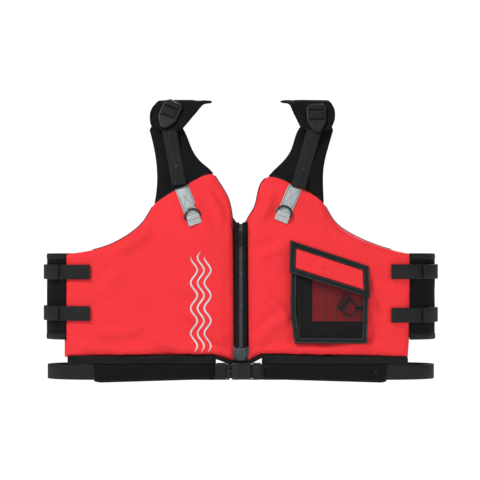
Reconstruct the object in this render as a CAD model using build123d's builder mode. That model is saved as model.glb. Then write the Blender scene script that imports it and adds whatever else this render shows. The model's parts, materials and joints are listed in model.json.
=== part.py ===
"""A paddling life jacket: two zipped foam front panels and a foam back panel, joined by shoulder pads,
side panels and adjustable webbing, with a waist belt and its side-release buckle, a mesh pocket, and a
D-ring on each side.

Units are millimetres. +X is the wearer's left, the front faces -Y, and +Z is up. The origin is the middle
of the opening that the torso enters by, level with the lowest point of the waist belt. The jacket keeps
the shape it has when it hangs zipped and buckled: a flattened oval seen from above, with the shoulders
folded over at the top.
"""

import os
from math import asin, atan2, cos, degrees, hypot, radians, sin

from build123d import *

os.makedirs("parts", exist_ok=True)

# The body of the jacket. Its front faces lie at these distances from the middle plane, at these heights.
PROFILE_Z = [-20.0, 245.0, 360.0, 444.0]
FACE_Y = [84.0, 84.0, 60.0, 25.0]  # the outer face of a panel and of its shoulder
INSIDE_Y = [54.0, 54.0, 44.0, 15.0]  # the inner face, against the wearer
SIDE_CENTRE_X = 251.0  # the sides are round, about upright axes at this x
SHELL = 2.0  # outer cloth with its seam allowance
LINING = 1.5
SEAM = 3.0  # from the edge of a panel in to its foam
FIT = 0.3  # clearance between pieces that only touch
WIDE = 400.0  # past the jacket on every side

# Webbing and trim
WEB = 25.0
WEB_T = 1.8
TAPE_W, TAPE_T = 24.0, 1.2
NEOPRENE = 4.0
FRONT_SEAM_X = {"right": 301.0, "left": 292.0}  # where the side panels meet the front panels
BACK_SEAM_X = 288.0  # and the back one
HEM_H = 11.0  # binding along the bottom of the panels
HEM_T, HEM_SET_BACK = 13.0, 1.0
BACK_HEM_Z = 52.0

# Shoulder pads
PAD_T = 8.0
FOLD_R, FOLD_Z = 22.0, 458.0  # the middle of the pad's thickness where it folds over the shoulder
PAD_END = (37.0, 428.0)  # the middle of its lower end, in front and behind

# The panels' outlines, seen from the front, as (x, z). Two points are a line and more are a curve.
RIGHT_ARMHOLE = [(-301, 219), (-263, 224), (-224, 235), (-188, 255), (-166, 275), (-153, 296), (-148, 304)]
RIGHT_YOKE = [(-148, 304), (-132, 316), (-110, 329), (-88, 340), (-66, 352), (-46, 356)]
RIGHT_NECK = [(-46, 356), (-34, 337), (-22, 316), (-15, 286), (-12, 255)]
RIGHT_PANEL = [
    RIGHT_ARMHOLE,
    RIGHT_YOKE,
    RIGHT_NECK,
    [(-12, 255), (-10, 60)],
    [(-10, 60), (-10, 33)],
    [(-10, 33), (-47, 46)],
    [(-47, 46), (-301, 43)],
    [(-301, 43), (-301, 219)],
]
LEFT_ARMHOLE = [(292, 219), (267, 224), (230, 235), (186, 255), (160, 275), (147, 296), (142, 305)]
LEFT_YOKE = [(142, 305), (124, 320), (104, 331), (84, 340), (66, 348), (46, 351)]
LEFT_NECK = [(46, 351), (33, 337), (28, 318), (22, 297), (14, 284), (10, 255)]
LEFT_PANEL = [
    LEFT_ARMHOLE,
    LEFT_YOKE,
    LEFT_NECK,
    [(10, 255), (12, 60)],
    [(12, 60), (9, 33)],
    [(9, 33), (36, 47)],
    [(36, 47), (285, 42)],
    [(285, 42), (291, 130)],
    [(291, 130), (292, 219)],
]
BACK_ARMHOLE = [(288, 215), (262, 221), (226, 233), (184, 255), (160, 276), (148, 296), (142, 308)]
BACK_NECK = [(92, 322), (74, 292), (44, 268), (0, 258), (-44, 268), (-74, 292), (-92, 322)]
BACK_PANEL = [
    BACK_ARMHOLE,
    [(142, 308), (120, 319), (92, 322)],
    BACK_NECK,
    [(-92, 322), (-120, 319), (-142, 308)],
    [(-x, z) for x, z in reversed(BACK_ARMHOLE)],
    [(-288, 215), (-284, 52)],
    [(-284, 52), (284, 52)],
    [(284, 52), (288, 215)],
]
RIGHT_SHOULDER = [
    [(-148, 304), (-144, 330), (-144, 367), (-149, 400), (-157, 432)],
    [(-157, 432), (-151, 444)],
    [(-151, 444), (-106, 444)],
    [(-106, 444), (-91, 418), (-83, 398), (-68, 377), (-55, 366), (-46, 356)],
    list(reversed(RIGHT_YOKE)),
]
LEFT_SHOULDER = [
    [(142, 305), (141, 330), (142, 367), (149, 398), (159, 432)],
    [(159, 432), (154, 444)],
    [(154, 444), (108, 444)],
    [(108, 444), (93, 420), (86, 398), (75, 381), (58, 364), (46, 351)],
    list(reversed(LEFT_YOKE)),
]
BACK_SHOULDER = [
    [(142, 308), (137, 335), (138, 367), (144, 400), (150, 444)],
    [(150, 444), (112, 444)],
    [(112, 444), (102, 410), (96, 370), (92, 322)],
    [(92, 322), (120, 319), (142, 308)],
]
RIGHT_PAD = [
    [(-142, 490), (-151, 465), (-151, 446), (-140, 431), (-120, 426), (-100, 433)],
    [(-100, 433), (-84, 452), (-64, 477)],
    [(-64, 477), (-46, 479)],
    [(-46, 479), (-60, 490)],
    [(-60, 490), (-142, 490)],
]
LEFT_PAD = [
    [(154, 490), (162, 466), (160, 444), (150, 430), (128, 425), (103, 436)],
    [(103, 436), (94, 458), (87, 478)],
    [(87, 478), (66, 479)],
    [(66, 479), (82, 490)],
    [(82, 490), (154, 490)],
]
BACK_PAD = [
    [(152, 490), (158, 462), (156, 442), (146, 430), (128, 426), (108, 430)],
    [(108, 430), (96, 452), (84, 478)],
    [(84, 478), (66, 480)],
    [(66, 480), (76, 490)],
    [(76, 490), (152, 490)],
]

# Reflective tapes, from the middle of the top edge to the middle of the bottom edge
RIGHT_TAPE = ((-101, 333), (-77, 270))
LEFT_TAPE = ((93, 333), (68, 275))

# Shoulder webbing, from its folded lower end up to the ladder-lock
RIGHT_WEB = ((-105, -67, 338), (-118.6, -46.2, 427))
LEFT_WEB = ((94, -67.3, 336), (120.3, -46.4, 423))
WEB_HEM = 11.0  # the folded end
RIGHT_LADDER = ((-116.5, 474.0), -22.0)  # the middle of the top bar, and its turn in degrees
LEFT_LADDER = ((129.5, 470.0), 1.0)
LADDER_T = 4.0
LADDER_LIFT = 2.5  # above the pad, with room for the webbing
LADDER_SLOT = (25.5, 8.0)
LADDER_SLOT_Z = (-7.0, -21.0)  # the middle of each slot, from the top bar
LADDER_SIDE = [(6.5, -43), (15.5, -29), (17, -1), (15, 3)]  # the left half of its outline
LADDER_TIP = -46.5
LOCK_LOOP_Z = (3.4, 13.0)  # the loop that holds it, above the top bar

# D-rings
RING_WIRE_R = 1.7
RING_R = 13.3  # the middle of its wire
RING_LIFT = 4.8  # its bar above the panel's face
RING_LOOP = 13.0  # the folded tape that holds the bar
RING_LOOP_W = 22.0

# Zip
ZIP_Y = 80.0  # the middle of its teeth
ZIP_TOP_Z, ZIP_BOTTOM_Z = 268.0, 60.0
TOOTH_IN, TOOTH_OUT = 0.8, 3.2  # the row of teeth on each side, from the middle
TOOTH_T = 2.4
ZIP_EDGE_X = 8.0
FILM_Z, FILM_T = (38.0, 44.0), 4.0  # its bottom edge and where its corners are cut off
GUARD_BACK, GUARD_T = 5.5, 2.5  # from the teeth back to the guard behind them
SLIDER_Z = 250.0
SLIDER_W, SLIDER_H = 10.0, 15.0
SLIDER_GAP, SLIDER_WALL = 3.0, 1.2
PULL_Y = 83.8  # the bar that the pull swings on
PULL_W, PULL_L, PULL_T = 7.0, 20.0, 1.0

# Waist belt and its buckle
BELT_R = 82.0  # its outer face, round the sides
BELT_Z = 17.5
SLEEVE_FACE_Y, SLEEVE_BACK_Y = 83.0, 72.0
STEP_X = (0.5, 3.5)  # the webbing that steps forward to the buckle, from the mouth of a sleeve
BUCKLE_Y, BUCKLE_Z = 88.7, 20.0
BUCKLE_W, BUCKLE_T = 29.0, 10.0
FRAME_T = 5.0
MALE_X = (-42.0, -19.0)
SHELL_X = (-15.0, 16.0)
FEMALE_X = 34.0
MALE_SLOTS = ((-35.0, -31.4), (-26.8, -23.2))  # the webbing passes down one slot and back up the other
FEMALE_SLOTS = ((16.8, 22.6), (25.0, 28.6))
SLOT_H = WEB + 0.5
SHELL_GAP = 5.6  # inside the female half, for the prongs
GUIDE_W, GUIDE_T, GUIDE_X = 4.0, 3.6, 10.0
PRONG_Z = 9.0  # the middle of a prong's root, from the middle of the buckle
PRONG_X = MALE_X[1] + 2.2
PRONG_R, PRONG_T = 1.8, 4.4

# Side panels and their straps
SIDE_Z = (73.0, 220.0)
STRAP_Z = {"right_upper": 188.5, "right_lower": 118.0, "left_upper": 189.0, "left_lower": 115.0}
STRAP_LIFT = 0.4
TAIL_LIFT = 2.8
PATCH_X = 256.0  # where a strap is sewn on in front
TAIL_X = 312.0  # where its free end stops
SIDE_LOCK_X = (222.0, 250.0)
SIDE_LOCK_H, SIDE_LOCK_T, SIDE_LOCK_LIFT = 31.0, 3.4, 1.0
SIDE_LOCK_SLOT = (6.0, 5.0)  # how far each slot is from the middle, and its width
SIDE_LOOP_X = (184.5, 221.5)

# Pocket
POCKET_Y = 93.0  # its mesh face
POCKET_WALL = 1.2
POCKET = [(85, 190), (84, 120), (91, 68), (214, 67), (217, 152)]
FLAP = [(84, 242), (217.5, 198), (219.5, 144), (82, 187.5)]
FLAP_Y = (84.4, 95.6)  # its inner face at the hinge line and at the lower edge
FLAP_T = 2.2
BINDING = 10.0
GUSSET = 2.0  # the pocket's side wall
RIM_RAISE = 0.4  # the binding stands this far out from what it binds
FLAP_RIM, FLAP_SEAM = 0.6, 0.05
PATCH_T = 0.8

# The snap hook in the pocket
TAB_END = (197.0, 127.0)  # the loop of its webbing tab
TAB_W, TAB_L = 5.5, 16.0
KEY_RING_R, KEY_WIRE_R, KEY_PLAY = 12.5, 1.4, 0.8
HOOK_Y = (FACE_Y[0] + POCKET_Y - POCKET_WALL) / 2 + 0.4
HOOK_TOP, HOOK_TURN = (180.0, 144.0), 238.0  # the link's upper end, and where its other end points
HOOK_L, HOOK_W, HOOK_WALL, HOOK_T = 30.0, 13.0, 3.0, 2.6
GATE_L, GATE_GAP = 10.0, 0.6

# Loops that hold the belt to the back
LOOP_X, LOOP_Z = 122.0, (3.0, 41.0)


def save(part, label):
    """Names a finished piece and writes it."""
    part.label = label
    export_step(part, f"parts/{label}.step")


def draw(outline):
    """Draws an outline's lines and curves, inside a BuildLine."""
    for points in outline:
        if len(points) == 2:
            Line(*points)
        else:
            Spline(*points)


def corners(points):
    """The outline through corner points, closed."""
    return [list(pair) for pair in zip(points, points[1:] + points[:1])]


def mirrored(outline):
    return [[(-x, z) for x, z in points] for points in outline]


def at_height(profile, z):
    """The distance from the middle plane that a profile gives at a height."""
    spans = list(zip(PROFILE_Z, PROFILE_Z[1:], profile, profile[1:]))
    low, high, near, far = next(span for span in spans if z <= span[1])
    return near + (far - near) * (z - low) / (high - low)


def raised(profile, lift):
    return [y + lift for y in profile]


def slab(outer, inner):
    """Everything between two front profiles, right across the jacket."""
    front = [(-y, z) for y, z in zip(outer, PROFILE_Z)]
    back = [(-y, z) for y, z in zip(inner, PROFILE_Z)]
    with BuildPart() as body:
        with BuildSketch(Plane.YZ.offset(-WIDE)):
            with BuildLine():
                draw(corners(front + back[::-1]))
            make_face()
        extrude(amount=2 * WIDE)
    return body.part


def oval(radius, low=-20.0, high=500.0):
    """Everything within the jacket's rounded sides, at that radius, between two heights."""
    with BuildPart() as tube:
        with BuildSketch(Plane.XY.offset(low)):
            SlotOverall(2 * (SIDE_CENTRE_X + radius), 2 * radius)
        extrude(amount=high - low)
    return tube.part


def plate(outline, near, far, inset=0.0):
    """An outline seen from the front as a flat piece between two distances to the front.

    One that is drawn in by inset has straight sides between the outline's points.
    """
    if inset:
        outline = corners([points[0] for points in outline for points in zip(points, points[1:])])
    with BuildPart() as piece:
        with BuildSketch(Plane.XZ.offset(near)):
            with BuildLine():
                draw(outline)
            make_face()
            if inset:
                offset(amount=-inset, kind=Kind.INTERSECTION, mode=Mode.REPLACE)
        extrude(amount=far - near)
    return piece.part


def layer(outline, outer, inner, inset=0.0, sides=None):
    """The part of the front within an outline, between two profiles and within the rounded sides."""
    with BuildPart() as piece:
        add(plate(outline, 0, WIDE, inset))
        add(slab(outer, inner), mode=Mode.INTERSECT)
        add(oval(sides or outer[0]), mode=Mode.INTERSECT)
    return piece.part


def foam_panel(outline, name, turned=False):
    """The outer cover, the foam and the lining of one panel. The back one is made in front and turned."""
    lining_face = raised(INSIDE_Y, LINING)
    with BuildPart() as foam:
        add(layer(outline, raised(FACE_Y, -SHELL), lining_face, SEAM))
    with BuildPart() as cover:
        add(layer(outline, FACE_Y, lining_face))
        add(foam.part, mode=Mode.SUBTRACT)
    with BuildPart() as lining:
        add(layer(outline, lining_face, INSIDE_Y, sides=FACE_Y[0]))
    for builder, what in ((cover, "cover"), (foam, "foam"), (lining, "lining")):
        piece = mirror(builder.part, Plane.XZ) if turned else builder.part
        save(piece, f"{name}_{what}")


def strip(start, end, width, thickness, normal):
    """Flat webbing from one point to another, raised along its normal from the line between them."""
    along = Vector(*end) - Vector(*start)
    with BuildPart() as web:
        with BuildSketch(Plane(origin=start, x_dir=along, z_dir=normal)):
            Rectangle(along.length, width, align=(Align.MIN, Align.CENTER))
        extrude(amount=thickness)
    return web.part


def facing(start, end):
    """The direction square to a line that faces most nearly to the front."""
    along = (Vector(*end) - Vector(*start)).normalized()
    front = Vector(0, -1, 0)
    return (front - along * front.dot(along)).normalized()


# The three foam panels
foam_panel(RIGHT_PANEL, "right_front")
foam_panel(LEFT_PANEL, "left_front")
foam_panel(BACK_PANEL, "back", turned=True)

# The padded shoulders above them
for label, outline in (("right_front_shoulder", RIGHT_SHOULDER), ("left_front_shoulder", LEFT_SHOULDER)):
    save(layer(outline, FACE_Y, INSIDE_Y), label)
for side_name, outline in (("right", mirrored(BACK_SHOULDER)), ("left", BACK_SHOULDER)):
    save(mirror(layer(outline, FACE_Y, INSIDE_Y), Plane.XZ), f"{side_name}_back_shoulder")

# The pads that fold over the shoulders. LEAN is how far their straight sides lean from upright.
reach = hypot(PAD_END[0], FOLD_Z - PAD_END[1])
LEAN = 90 - degrees(atan2(FOLD_Z - PAD_END[1], PAD_END[0]) + asin(FOLD_R / reach))
UP = (sin(radians(LEAN)), cos(radians(LEAN)))  # along the front of a pad, in y and z
OUT = (-cos(radians(LEAN)), sin(radians(LEAN)))  # square to it, outwards


def pad_profile(radius):
    """The half-section of a pad's face at a radius about the fold, from its front end to the top."""
    end = (-PAD_END[0] + OUT[0] * (radius - FOLD_R), PAD_END[1] + OUT[1] * (radius - FOLD_R))
    start_of_bend = (OUT[0] * radius, FOLD_Z + OUT[1] * radius)
    halfway = radians(45 - LEAN / 2)
    bend = (-radius * sin(halfway), FOLD_Z + radius * cos(halfway))
    return end, start_of_bend, bend, (0, FOLD_Z + radius)


def half_pad(outline):
    """The front half of a folded pad, within an outline."""
    inner, outer = pad_profile(FOLD_R - PAD_T / 2), pad_profile(FOLD_R + PAD_T / 2)
    with BuildPart() as pad:
        with BuildSketch(Plane.YZ.offset(-WIDE)):
            with BuildLine():
                for end, start_of_bend, bend, top in (inner, outer):
                    Line(end, start_of_bend)
                    ThreePointArc(start_of_bend, bend, top)
                Line(inner[0], outer[0])
                Line(inner[-1], outer[-1])
            make_face()
        extrude(amount=2 * WIDE)
        add(plate(outline, -1, WIDE), mode=Mode.INTERSECT)
    return pad.part


for label, front, back in (("right_pad", RIGHT_PAD, mirrored(BACK_PAD)), ("left_pad", LEFT_PAD, BACK_PAD)):
    with BuildPart() as pad:
        add(half_pad(front))
        add(mirror(half_pad(back), Plane.XZ))
    save(pad.part, label)

# Neoprene side panels, round from the front panels to the back one
for side_name, side in (("right", -1), ("left", 1)):
    with BuildPart() as neoprene:
        add(oval(FACE_Y[0], *SIDE_Z))
        add(oval(FACE_Y[0] - NEOPRENE, *SIDE_Z), mode=Mode.SUBTRACT)
        with BuildSketch(Plane.XY.offset(SIDE_Z[0])):
            with Locations((side * (FRONT_SEAM_X[side_name] + FIT + WIDE / 2), -WIDE / 2)):
                Rectangle(WIDE, WIDE)
            with Locations((side * (BACK_SEAM_X + FIT + WIDE / 2), WIDE / 2)):
                Rectangle(WIDE, WIDE)
        extrude(amount=SIDE_Z[1] - SIDE_Z[0], mode=Mode.INTERSECT)
    save(neoprene.part, f"{side_name}_side_panel")

# Hem bindings
RIGHT_HEM = [(-301, 42.7), (-47, 45.7), (-42, 42), (-42, 32), (-301, 32)]
LEFT_HEM = [(285, 41.7), (36, 46.7), (35, 32), (285, 32)]
BACK_HEM = [(284, BACK_HEM_Z - FIT), (-284, BACK_HEM_Z - FIT)]
BACK_HEM += [(-284, BACK_HEM_Z - HEM_H), (284, BACK_HEM_Z - HEM_H)]
hem_face = raised(FACE_Y, -HEM_SET_BACK)
hem_back = raised(FACE_Y, -HEM_SET_BACK - HEM_T)
with BuildPart() as front_hems:
    add(layer(corners(RIGHT_HEM), hem_face, hem_back))
    add(layer(corners(LEFT_HEM), hem_face, hem_back))
save(front_hems.part, "front_hem_bindings")
save(mirror(layer(corners(BACK_HEM), hem_face, hem_back), Plane.XZ), "back_hem_binding")

# Waist belt: a band of webbing right round the jacket, open in front, inside a padded sleeve on each side
belt_low, belt_high = BELT_Z - WEB / 2, BELT_Z + WEB / 2
belt_end = BUCKLE_Y - FRAME_T / 2 - FIT


def belt_step(mouth_x, towards):
    """The webbing that steps forward from the mouth of a sleeve to the back of the buckle."""
    with BuildPart() as webbing:
        with BuildSketch(Plane.XY.offset(belt_low)):
            with BuildLine():
                near, far = mouth_x + towards * STEP_X[0], mouth_x + towards * STEP_X[1]
                draw(corners([(mouth_x, -BELT_R), (mouth_x, WEB_T - BELT_R), (far, WEB_T - BELT_R),
                              (far, -belt_end), (near, -belt_end)]))
            make_face()
        extrude(amount=WEB)
    return webbing.part


with BuildPart() as belt:
    add(oval(BELT_R, belt_low, belt_high))
    add(oval(BELT_R - WEB_T, belt_low, belt_high), mode=Mode.SUBTRACT)
    with Locations(((MALE_X[0] + FEMALE_X) / 2, -BELT_R, BELT_Z)):
        Box(FEMALE_X - MALE_X[0], 4 * WEB_T, 2 * WEB, mode=Mode.SUBTRACT)
    add(belt_step(FEMALE_X, -1))
save(belt.part, "waist_belt")
save(belt_step(MALE_X[0], 1), "male_buckle_webbing")

with BuildPart() as back_loops:
    for side in (-1, 1):
        with Locations((side * LOOP_X, BELT_R - WEB_T / 2, sum(LOOP_Z) / 2)):
            Box(WEB, 3 * WEB_T, LOOP_Z[1] - LOOP_Z[0])
        with Locations((side * LOOP_X, BELT_R - WEB_T / 2, BELT_Z)):
            Box(2 * WEB, WEB_T + 2 * FIT, WEB + 2 * FIT, mode=Mode.SUBTRACT)
save(back_loops.part, "back_belt_loops")

RIGHT_SLEEVE = [(-254, 31.7), (-42, 31.7), (-42, 6), (-240, 0), (-250, 2)]
LEFT_SLEEVE = [(252, 31.7), (34.5, 31.7), (34.5, 6), (240, 0), (248, 2)]
for label, outline in (("right_belt_sleeve", RIGHT_SLEEVE), ("left_belt_sleeve", LEFT_SLEEVE)):
    with BuildPart() as sleeve:
        add(plate(corners(outline), SLEEVE_BACK_Y, SLEEVE_FACE_Y))
        with Locations((0, -BELT_R + WEB_T / 2, BELT_Z)):
            Box(2 * WIDE, WEB_T + 2 * FIT, WEB + 2 * FIT, mode=Mode.SUBTRACT)
    save(sleeve.part, label)

# Side-release buckle. Its halves lie flat, and slide apart along X.


def buckle_box(x_low, x_high, width, thickness, z=BUCKLE_Z, mode=Mode.ADD):
    """A block of the buckle, from one x to another, centred in its thickness."""
    with Locations(((x_low + x_high) / 2, -BUCKLE_Y, z)):
        Box(x_high - x_low, thickness, width, mode=mode)


with BuildPart() as male:
    buckle_box(*MALE_X, BUCKLE_W, FRAME_T)
    fillet(male.edges().filter_by(Axis.Y), 2.5)
    for slot in MALE_SLOTS:
        buckle_box(*slot, SLOT_H, 2 * FRAME_T, mode=Mode.SUBTRACT)
    buckle_box(MALE_X[1] - 1, GUIDE_X, GUIDE_W, GUIDE_T)  # the guide prong
save(male.part, "male_buckle")

for label, side in (("upper_prong", 1), ("lower_prong", -1)):
    root_z = BUCKLE_Z + side * PRONG_Z
    with BuildPart() as prong:
        with BuildSketch(Plane.XZ.offset(BUCKLE_Y - PRONG_T / 2)):
            with Locations((PRONG_X, root_z)):
                Circle(PRONG_R)
            outline = [(PRONG_X, PRONG_R), (-7, PRONG_R), (-3, 5), (4, 4), (8, 0.6), (8, -PRONG_R)]
            outline.append((PRONG_X, -PRONG_R))
            with BuildLine():
                draw(corners([(x, root_z + side * up) for x, up in outline]))
            make_face()
        extrude(amount=PRONG_T)
    save(prong.part, label)

with BuildPart() as female:
    buckle_box(*SHELL_X, BUCKLE_W, BUCKLE_T)
    fillet(female.edges().filter_by(Axis.X), 3.0)
    buckle_box(SHELL_X[1] - 1, FEMALE_X, BUCKLE_W, FRAME_T)
    buckle_box(SHELL_X[0] - 1, GUIDE_X + 1, 2 * BUCKLE_W, SHELL_GAP, mode=Mode.SUBTRACT)
    for slot in FEMALE_SLOTS:
        buckle_box(*slot, SLOT_H, 2 * FRAME_T, mode=Mode.SUBTRACT)
save(female.part, "female_buckle")

# Side straps: sewn on in front, round the side to a ladder-lock behind, and back to a free end
for name, strap_z in STRAP_Z.items():
    side = -1 if name.startswith("right") else 1
    low, high = strap_z - WEB / 2, strap_z + WEB / 2
    strap_in, tail_in = FACE_Y[0] + STRAP_LIFT, FACE_Y[0] + TAIL_LIFT
    with BuildPart() as strap:
        add(oval(strap_in + WEB_T, low, high))
        add(oval(strap_in, low, high), mode=Mode.SUBTRACT)
        with BuildSketch(Plane.XY.offset(low)):
            with Locations((side * (PATCH_X + WIDE / 2), -WIDE / 2)):
                Rectangle(WIDE, WIDE)
            with Locations((side * (SIDE_LOCK_X[1] + FIT + WIDE / 2), WIDE / 2)):
                Rectangle(WIDE, WIDE)
        extrude(amount=WEB, mode=Mode.INTERSECT)
    with BuildPart() as tail:
        add(oval(tail_in + WEB_T, low, high))
        add(oval(tail_in, low, high), mode=Mode.SUBTRACT)
        with BuildSketch(Plane.XY.offset(low)):
            with Locations((side * (TAIL_X + WIDE / 2), -WIDE / 2)):
                Rectangle(WIDE, WIDE)
            with Locations((side * (SIDE_LOCK_X[1] + FIT + WIDE / 2), WIDE / 2)):
                Rectangle(WIDE, WIDE)
        extrude(amount=WEB, mode=Mode.INTERSECT)
    fold_t = tail_in + WEB_T - strap_in
    with BuildPart() as webbing:
        add(strap.part)
        add(tail.part)
        # The fold at the ladder-lock joins the two
        with Locations((side * (SIDE_LOCK_X[1] + FIT + 1), strap_in + fold_t / 2, strap_z)):
            Box(2, fold_t, WEB)
    save(webbing.part, f"{name}_strap")

with BuildPart() as side_locks:
    for name, strap_z in STRAP_Z.items():
        side = -1 if name.startswith("right") else 1
        middle = side * sum(SIDE_LOCK_X) / 2
        with BuildSketch(Plane.XZ.offset(-FACE_Y[0] - SIDE_LOCK_LIFT)):
            with Locations((middle, strap_z)):
                RectangleRounded(SIDE_LOCK_X[1] - SIDE_LOCK_X[0], SIDE_LOCK_H, 3)
            for slot_side in (-1, 1):
                with Locations((middle + slot_side * SIDE_LOCK_SLOT[0], strap_z)):
                    Rectangle(SIDE_LOCK_SLOT[1], SLOT_H, mode=Mode.SUBTRACT)
        extrude(amount=-SIDE_LOCK_T)
save(side_locks.part, "side_ladder_locks")

with BuildPart() as anchors:
    for name, strap_z in STRAP_Z.items():
        side = -1 if name.startswith("right") else 1
        with BuildSketch(Plane.XZ.offset(-FACE_Y[0] - FIT)):
            with Locations((side * sum(SIDE_LOOP_X) / 2, strap_z)):
                Rectangle(SIDE_LOOP_X[1] - SIDE_LOOP_X[0], WEB)
        extrude(amount=-2 * WEB_T)
save(anchors.part, "side_lock_loops")

# Reflective tapes, each with its folded loop, and the D-rings in the loops
slope = atan2(FACE_Y[1] - FACE_Y[2], PROFILE_Z[2] - PROFILE_Z[1])
TAPE_OUT = Vector(0, -cos(slope), sin(slope))


def on_face(x, z, lift):
    """A point on the sloping front above the chest, raised square to it."""
    return Vector(x, -at_height(FACE_Y, z), z) + TAPE_OUT * lift


for side_name, tape in (("right", RIGHT_TAPE), ("left", LEFT_TAPE)):
    top, bottom = (on_face(x, z, FIT) for x, z in tape)
    down = (bottom - top).normalized()
    across = down.cross(TAPE_OUT)
    bar = bottom - down * RING_LOOP + TAPE_OUT * (RING_LIFT - FIT)
    loop_r = RING_WIRE_R + FIT + TAPE_T
    with BuildPart() as reflective:
        add(strip(top, bottom, TAPE_W, TAPE_T, TAPE_OUT))
        loop_corners = [(0, loop_r), (RING_LOOP, 2 * TAPE_T - loop_r), (RING_LOOP, -loop_r), (0, -loop_r)]
        with BuildSketch(Plane(origin=bar - across * RING_LOOP_W / 2, x_dir=down, z_dir=across)):
            Circle(loop_r)
            with BuildLine():
                draw(corners(loop_corners))
            make_face()
            Circle(RING_WIRE_R + FIT, mode=Mode.SUBTRACT)
        extrude(amount=RING_LOOP_W)
    save(reflective.part, f"{side_name}_reflective_tape")
    with BuildPart() as ring:
        with BuildSketch(Plane(origin=bar - across * RING_R, x_dir=across, z_dir=down)):
            Circle(RING_WIRE_R)
        revolve(axis=Axis(bar, TAPE_OUT), revolution_arc=180)
        with BuildSketch(Plane(origin=bar - across * RING_R, x_dir=down, z_dir=across)):
            Circle(RING_WIRE_R)
        extrude(amount=2 * RING_R)
        with Locations((bar + across * RING_R), (bar - across * RING_R)):
            Sphere(RING_WIRE_R)
    save(ring.part, f"{side_name}_d_ring")

# Shoulder webbing with a folded end, and the loop and ladder-lock that it is adjusted by
shoulder_loops = []
for side_name, web, ladder in (("right", RIGHT_WEB, RIGHT_LADDER), ("left", LEFT_WEB, LEFT_LADDER)):
    start, end = web
    out = facing(start, end)
    along = (Vector(*end) - Vector(*start)).normalized()
    fold_end = Vector(*start) + along * WEB_HEM
    with BuildPart() as webbing:
        add(strip(start, end, WEB, WEB_T, out))
        add(strip((Vector(*start) + out * WEB_T), (fold_end + out * WEB_T), WEB, WEB_T, out))
    save(webbing.part, f"{side_name}_shoulder_webbing")

    (ladder_x, ladder_z), turn = ladder
    radius = FOLD_R + PAD_T / 2 + LADDER_LIFT
    rise = (ladder_z - FOLD_Z - OUT[1] * radius) / UP[1]
    origin = Vector(ladder_x, OUT[0] * radius + UP[0] * rise, ladder_z)
    lock_out = Vector(0, *OUT)
    across = Vector(1, 0, 0).rotate(Axis((0, 0, 0), lock_out), turn)
    face = Plane(origin=origin, x_dir=across, z_dir=lock_out)
    with BuildPart() as lock:
        with BuildSketch(face):
            with BuildLine():
                Polyline(*LADDER_SIDE, *((-x, up) for x, up in reversed(LADDER_SIDE)))
                ThreePointArc((-LADDER_SIDE[0][0], LADDER_SIDE[0][1]), (0, LADDER_TIP), LADDER_SIDE[0])
            make_face()
            with Locations(*((0, up) for up in LADDER_SLOT_Z)):
                Rectangle(*LADDER_SLOT, mode=Mode.SUBTRACT)
        extrude(amount=LADDER_T)
        front = lock.faces().filter_by(lambda side: side.normal_at().dot(lock_out) > 0.99)[0]
        fillet(front.outer_wire().edges(), 1.2)
    save(lock.part, f"{side_name}_ladder_lock")

    loop_ends = [origin + face.y_dir * up - lock_out for up in LOCK_LOOP_Z]
    shoulder_loops.append(strip(*loop_ends, WEB, WEB_T, lock_out))
with BuildPart() as lock_loops:
    add(shoulder_loops)
save(lock_loops.part, "shoulder_lock_loops")

# Zip: tapes, rows of teeth, the box at the bottom with its film, the slider and its pull, and the guard
for side_name, side in (("right", -1), ("left", 1)):
    tape_edges = [(side * TOOTH_OUT, ZIP_BOTTOM_Z), (side * ZIP_EDGE_X, ZIP_BOTTOM_Z),
                  (side * ZIP_EDGE_X, ZIP_TOP_Z + 6), (side * TOOTH_OUT, ZIP_TOP_Z)]
    save(plate(corners(tape_edges), ZIP_Y - TAPE_T / 2, ZIP_Y + TAPE_T / 2), f"{side_name}_zip_tape")
    with BuildPart() as teeth:
        with Locations((side * (TOOTH_IN + TOOTH_OUT) / 2, -ZIP_Y, (ZIP_TOP_Z + ZIP_BOTTOM_Z) / 2)):
            Box(TOOTH_OUT - TOOTH_IN, TOOTH_T, ZIP_TOP_Z - ZIP_BOTTOM_Z)
    save(teeth.part, f"{side_name}_zip_teeth")

film_side = [(ZIP_EDGE_X, ZIP_BOTTOM_Z - FIT), (ZIP_EDGE_X, FILM_Z[1]), (6, FILM_Z[0])]
with BuildPart() as zip_box:
    with BuildSketch(Plane.XZ.offset(ZIP_Y - FILM_T / 2)):
        with BuildLine():
            draw(corners(film_side + [(-x, z) for x, z in reversed(film_side)]))
        make_face()
    extrude(amount=FILM_T)
save(zip_box.part, "zip_box")

with BuildPart() as slider:
    for near in (ZIP_Y + SLIDER_GAP / 2, ZIP_Y - SLIDER_GAP / 2 - SLIDER_WALL):
        with BuildSketch(Plane.XZ.offset(near)):
            with Locations((0, SLIDER_Z)):
                Trapezoid(SLIDER_W, SLIDER_H, 80, rotation=180)
        extrude(amount=SLIDER_WALL)
    with Locations((0, -ZIP_Y, SLIDER_Z + 4)):
        Box(2 * TOOTH_IN - 2 * FIT, SLIDER_GAP + SLIDER_WALL, 5)  # the bridge between the two plates
    with Locations((0, -PULL_Y, SLIDER_Z)):
        Box(2, 2.8, 8)  # the bail that carries the pull
        Box(4, 1.5, 4, mode=Mode.SUBTRACT)
save(slider.part, "zip_slider")

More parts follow.
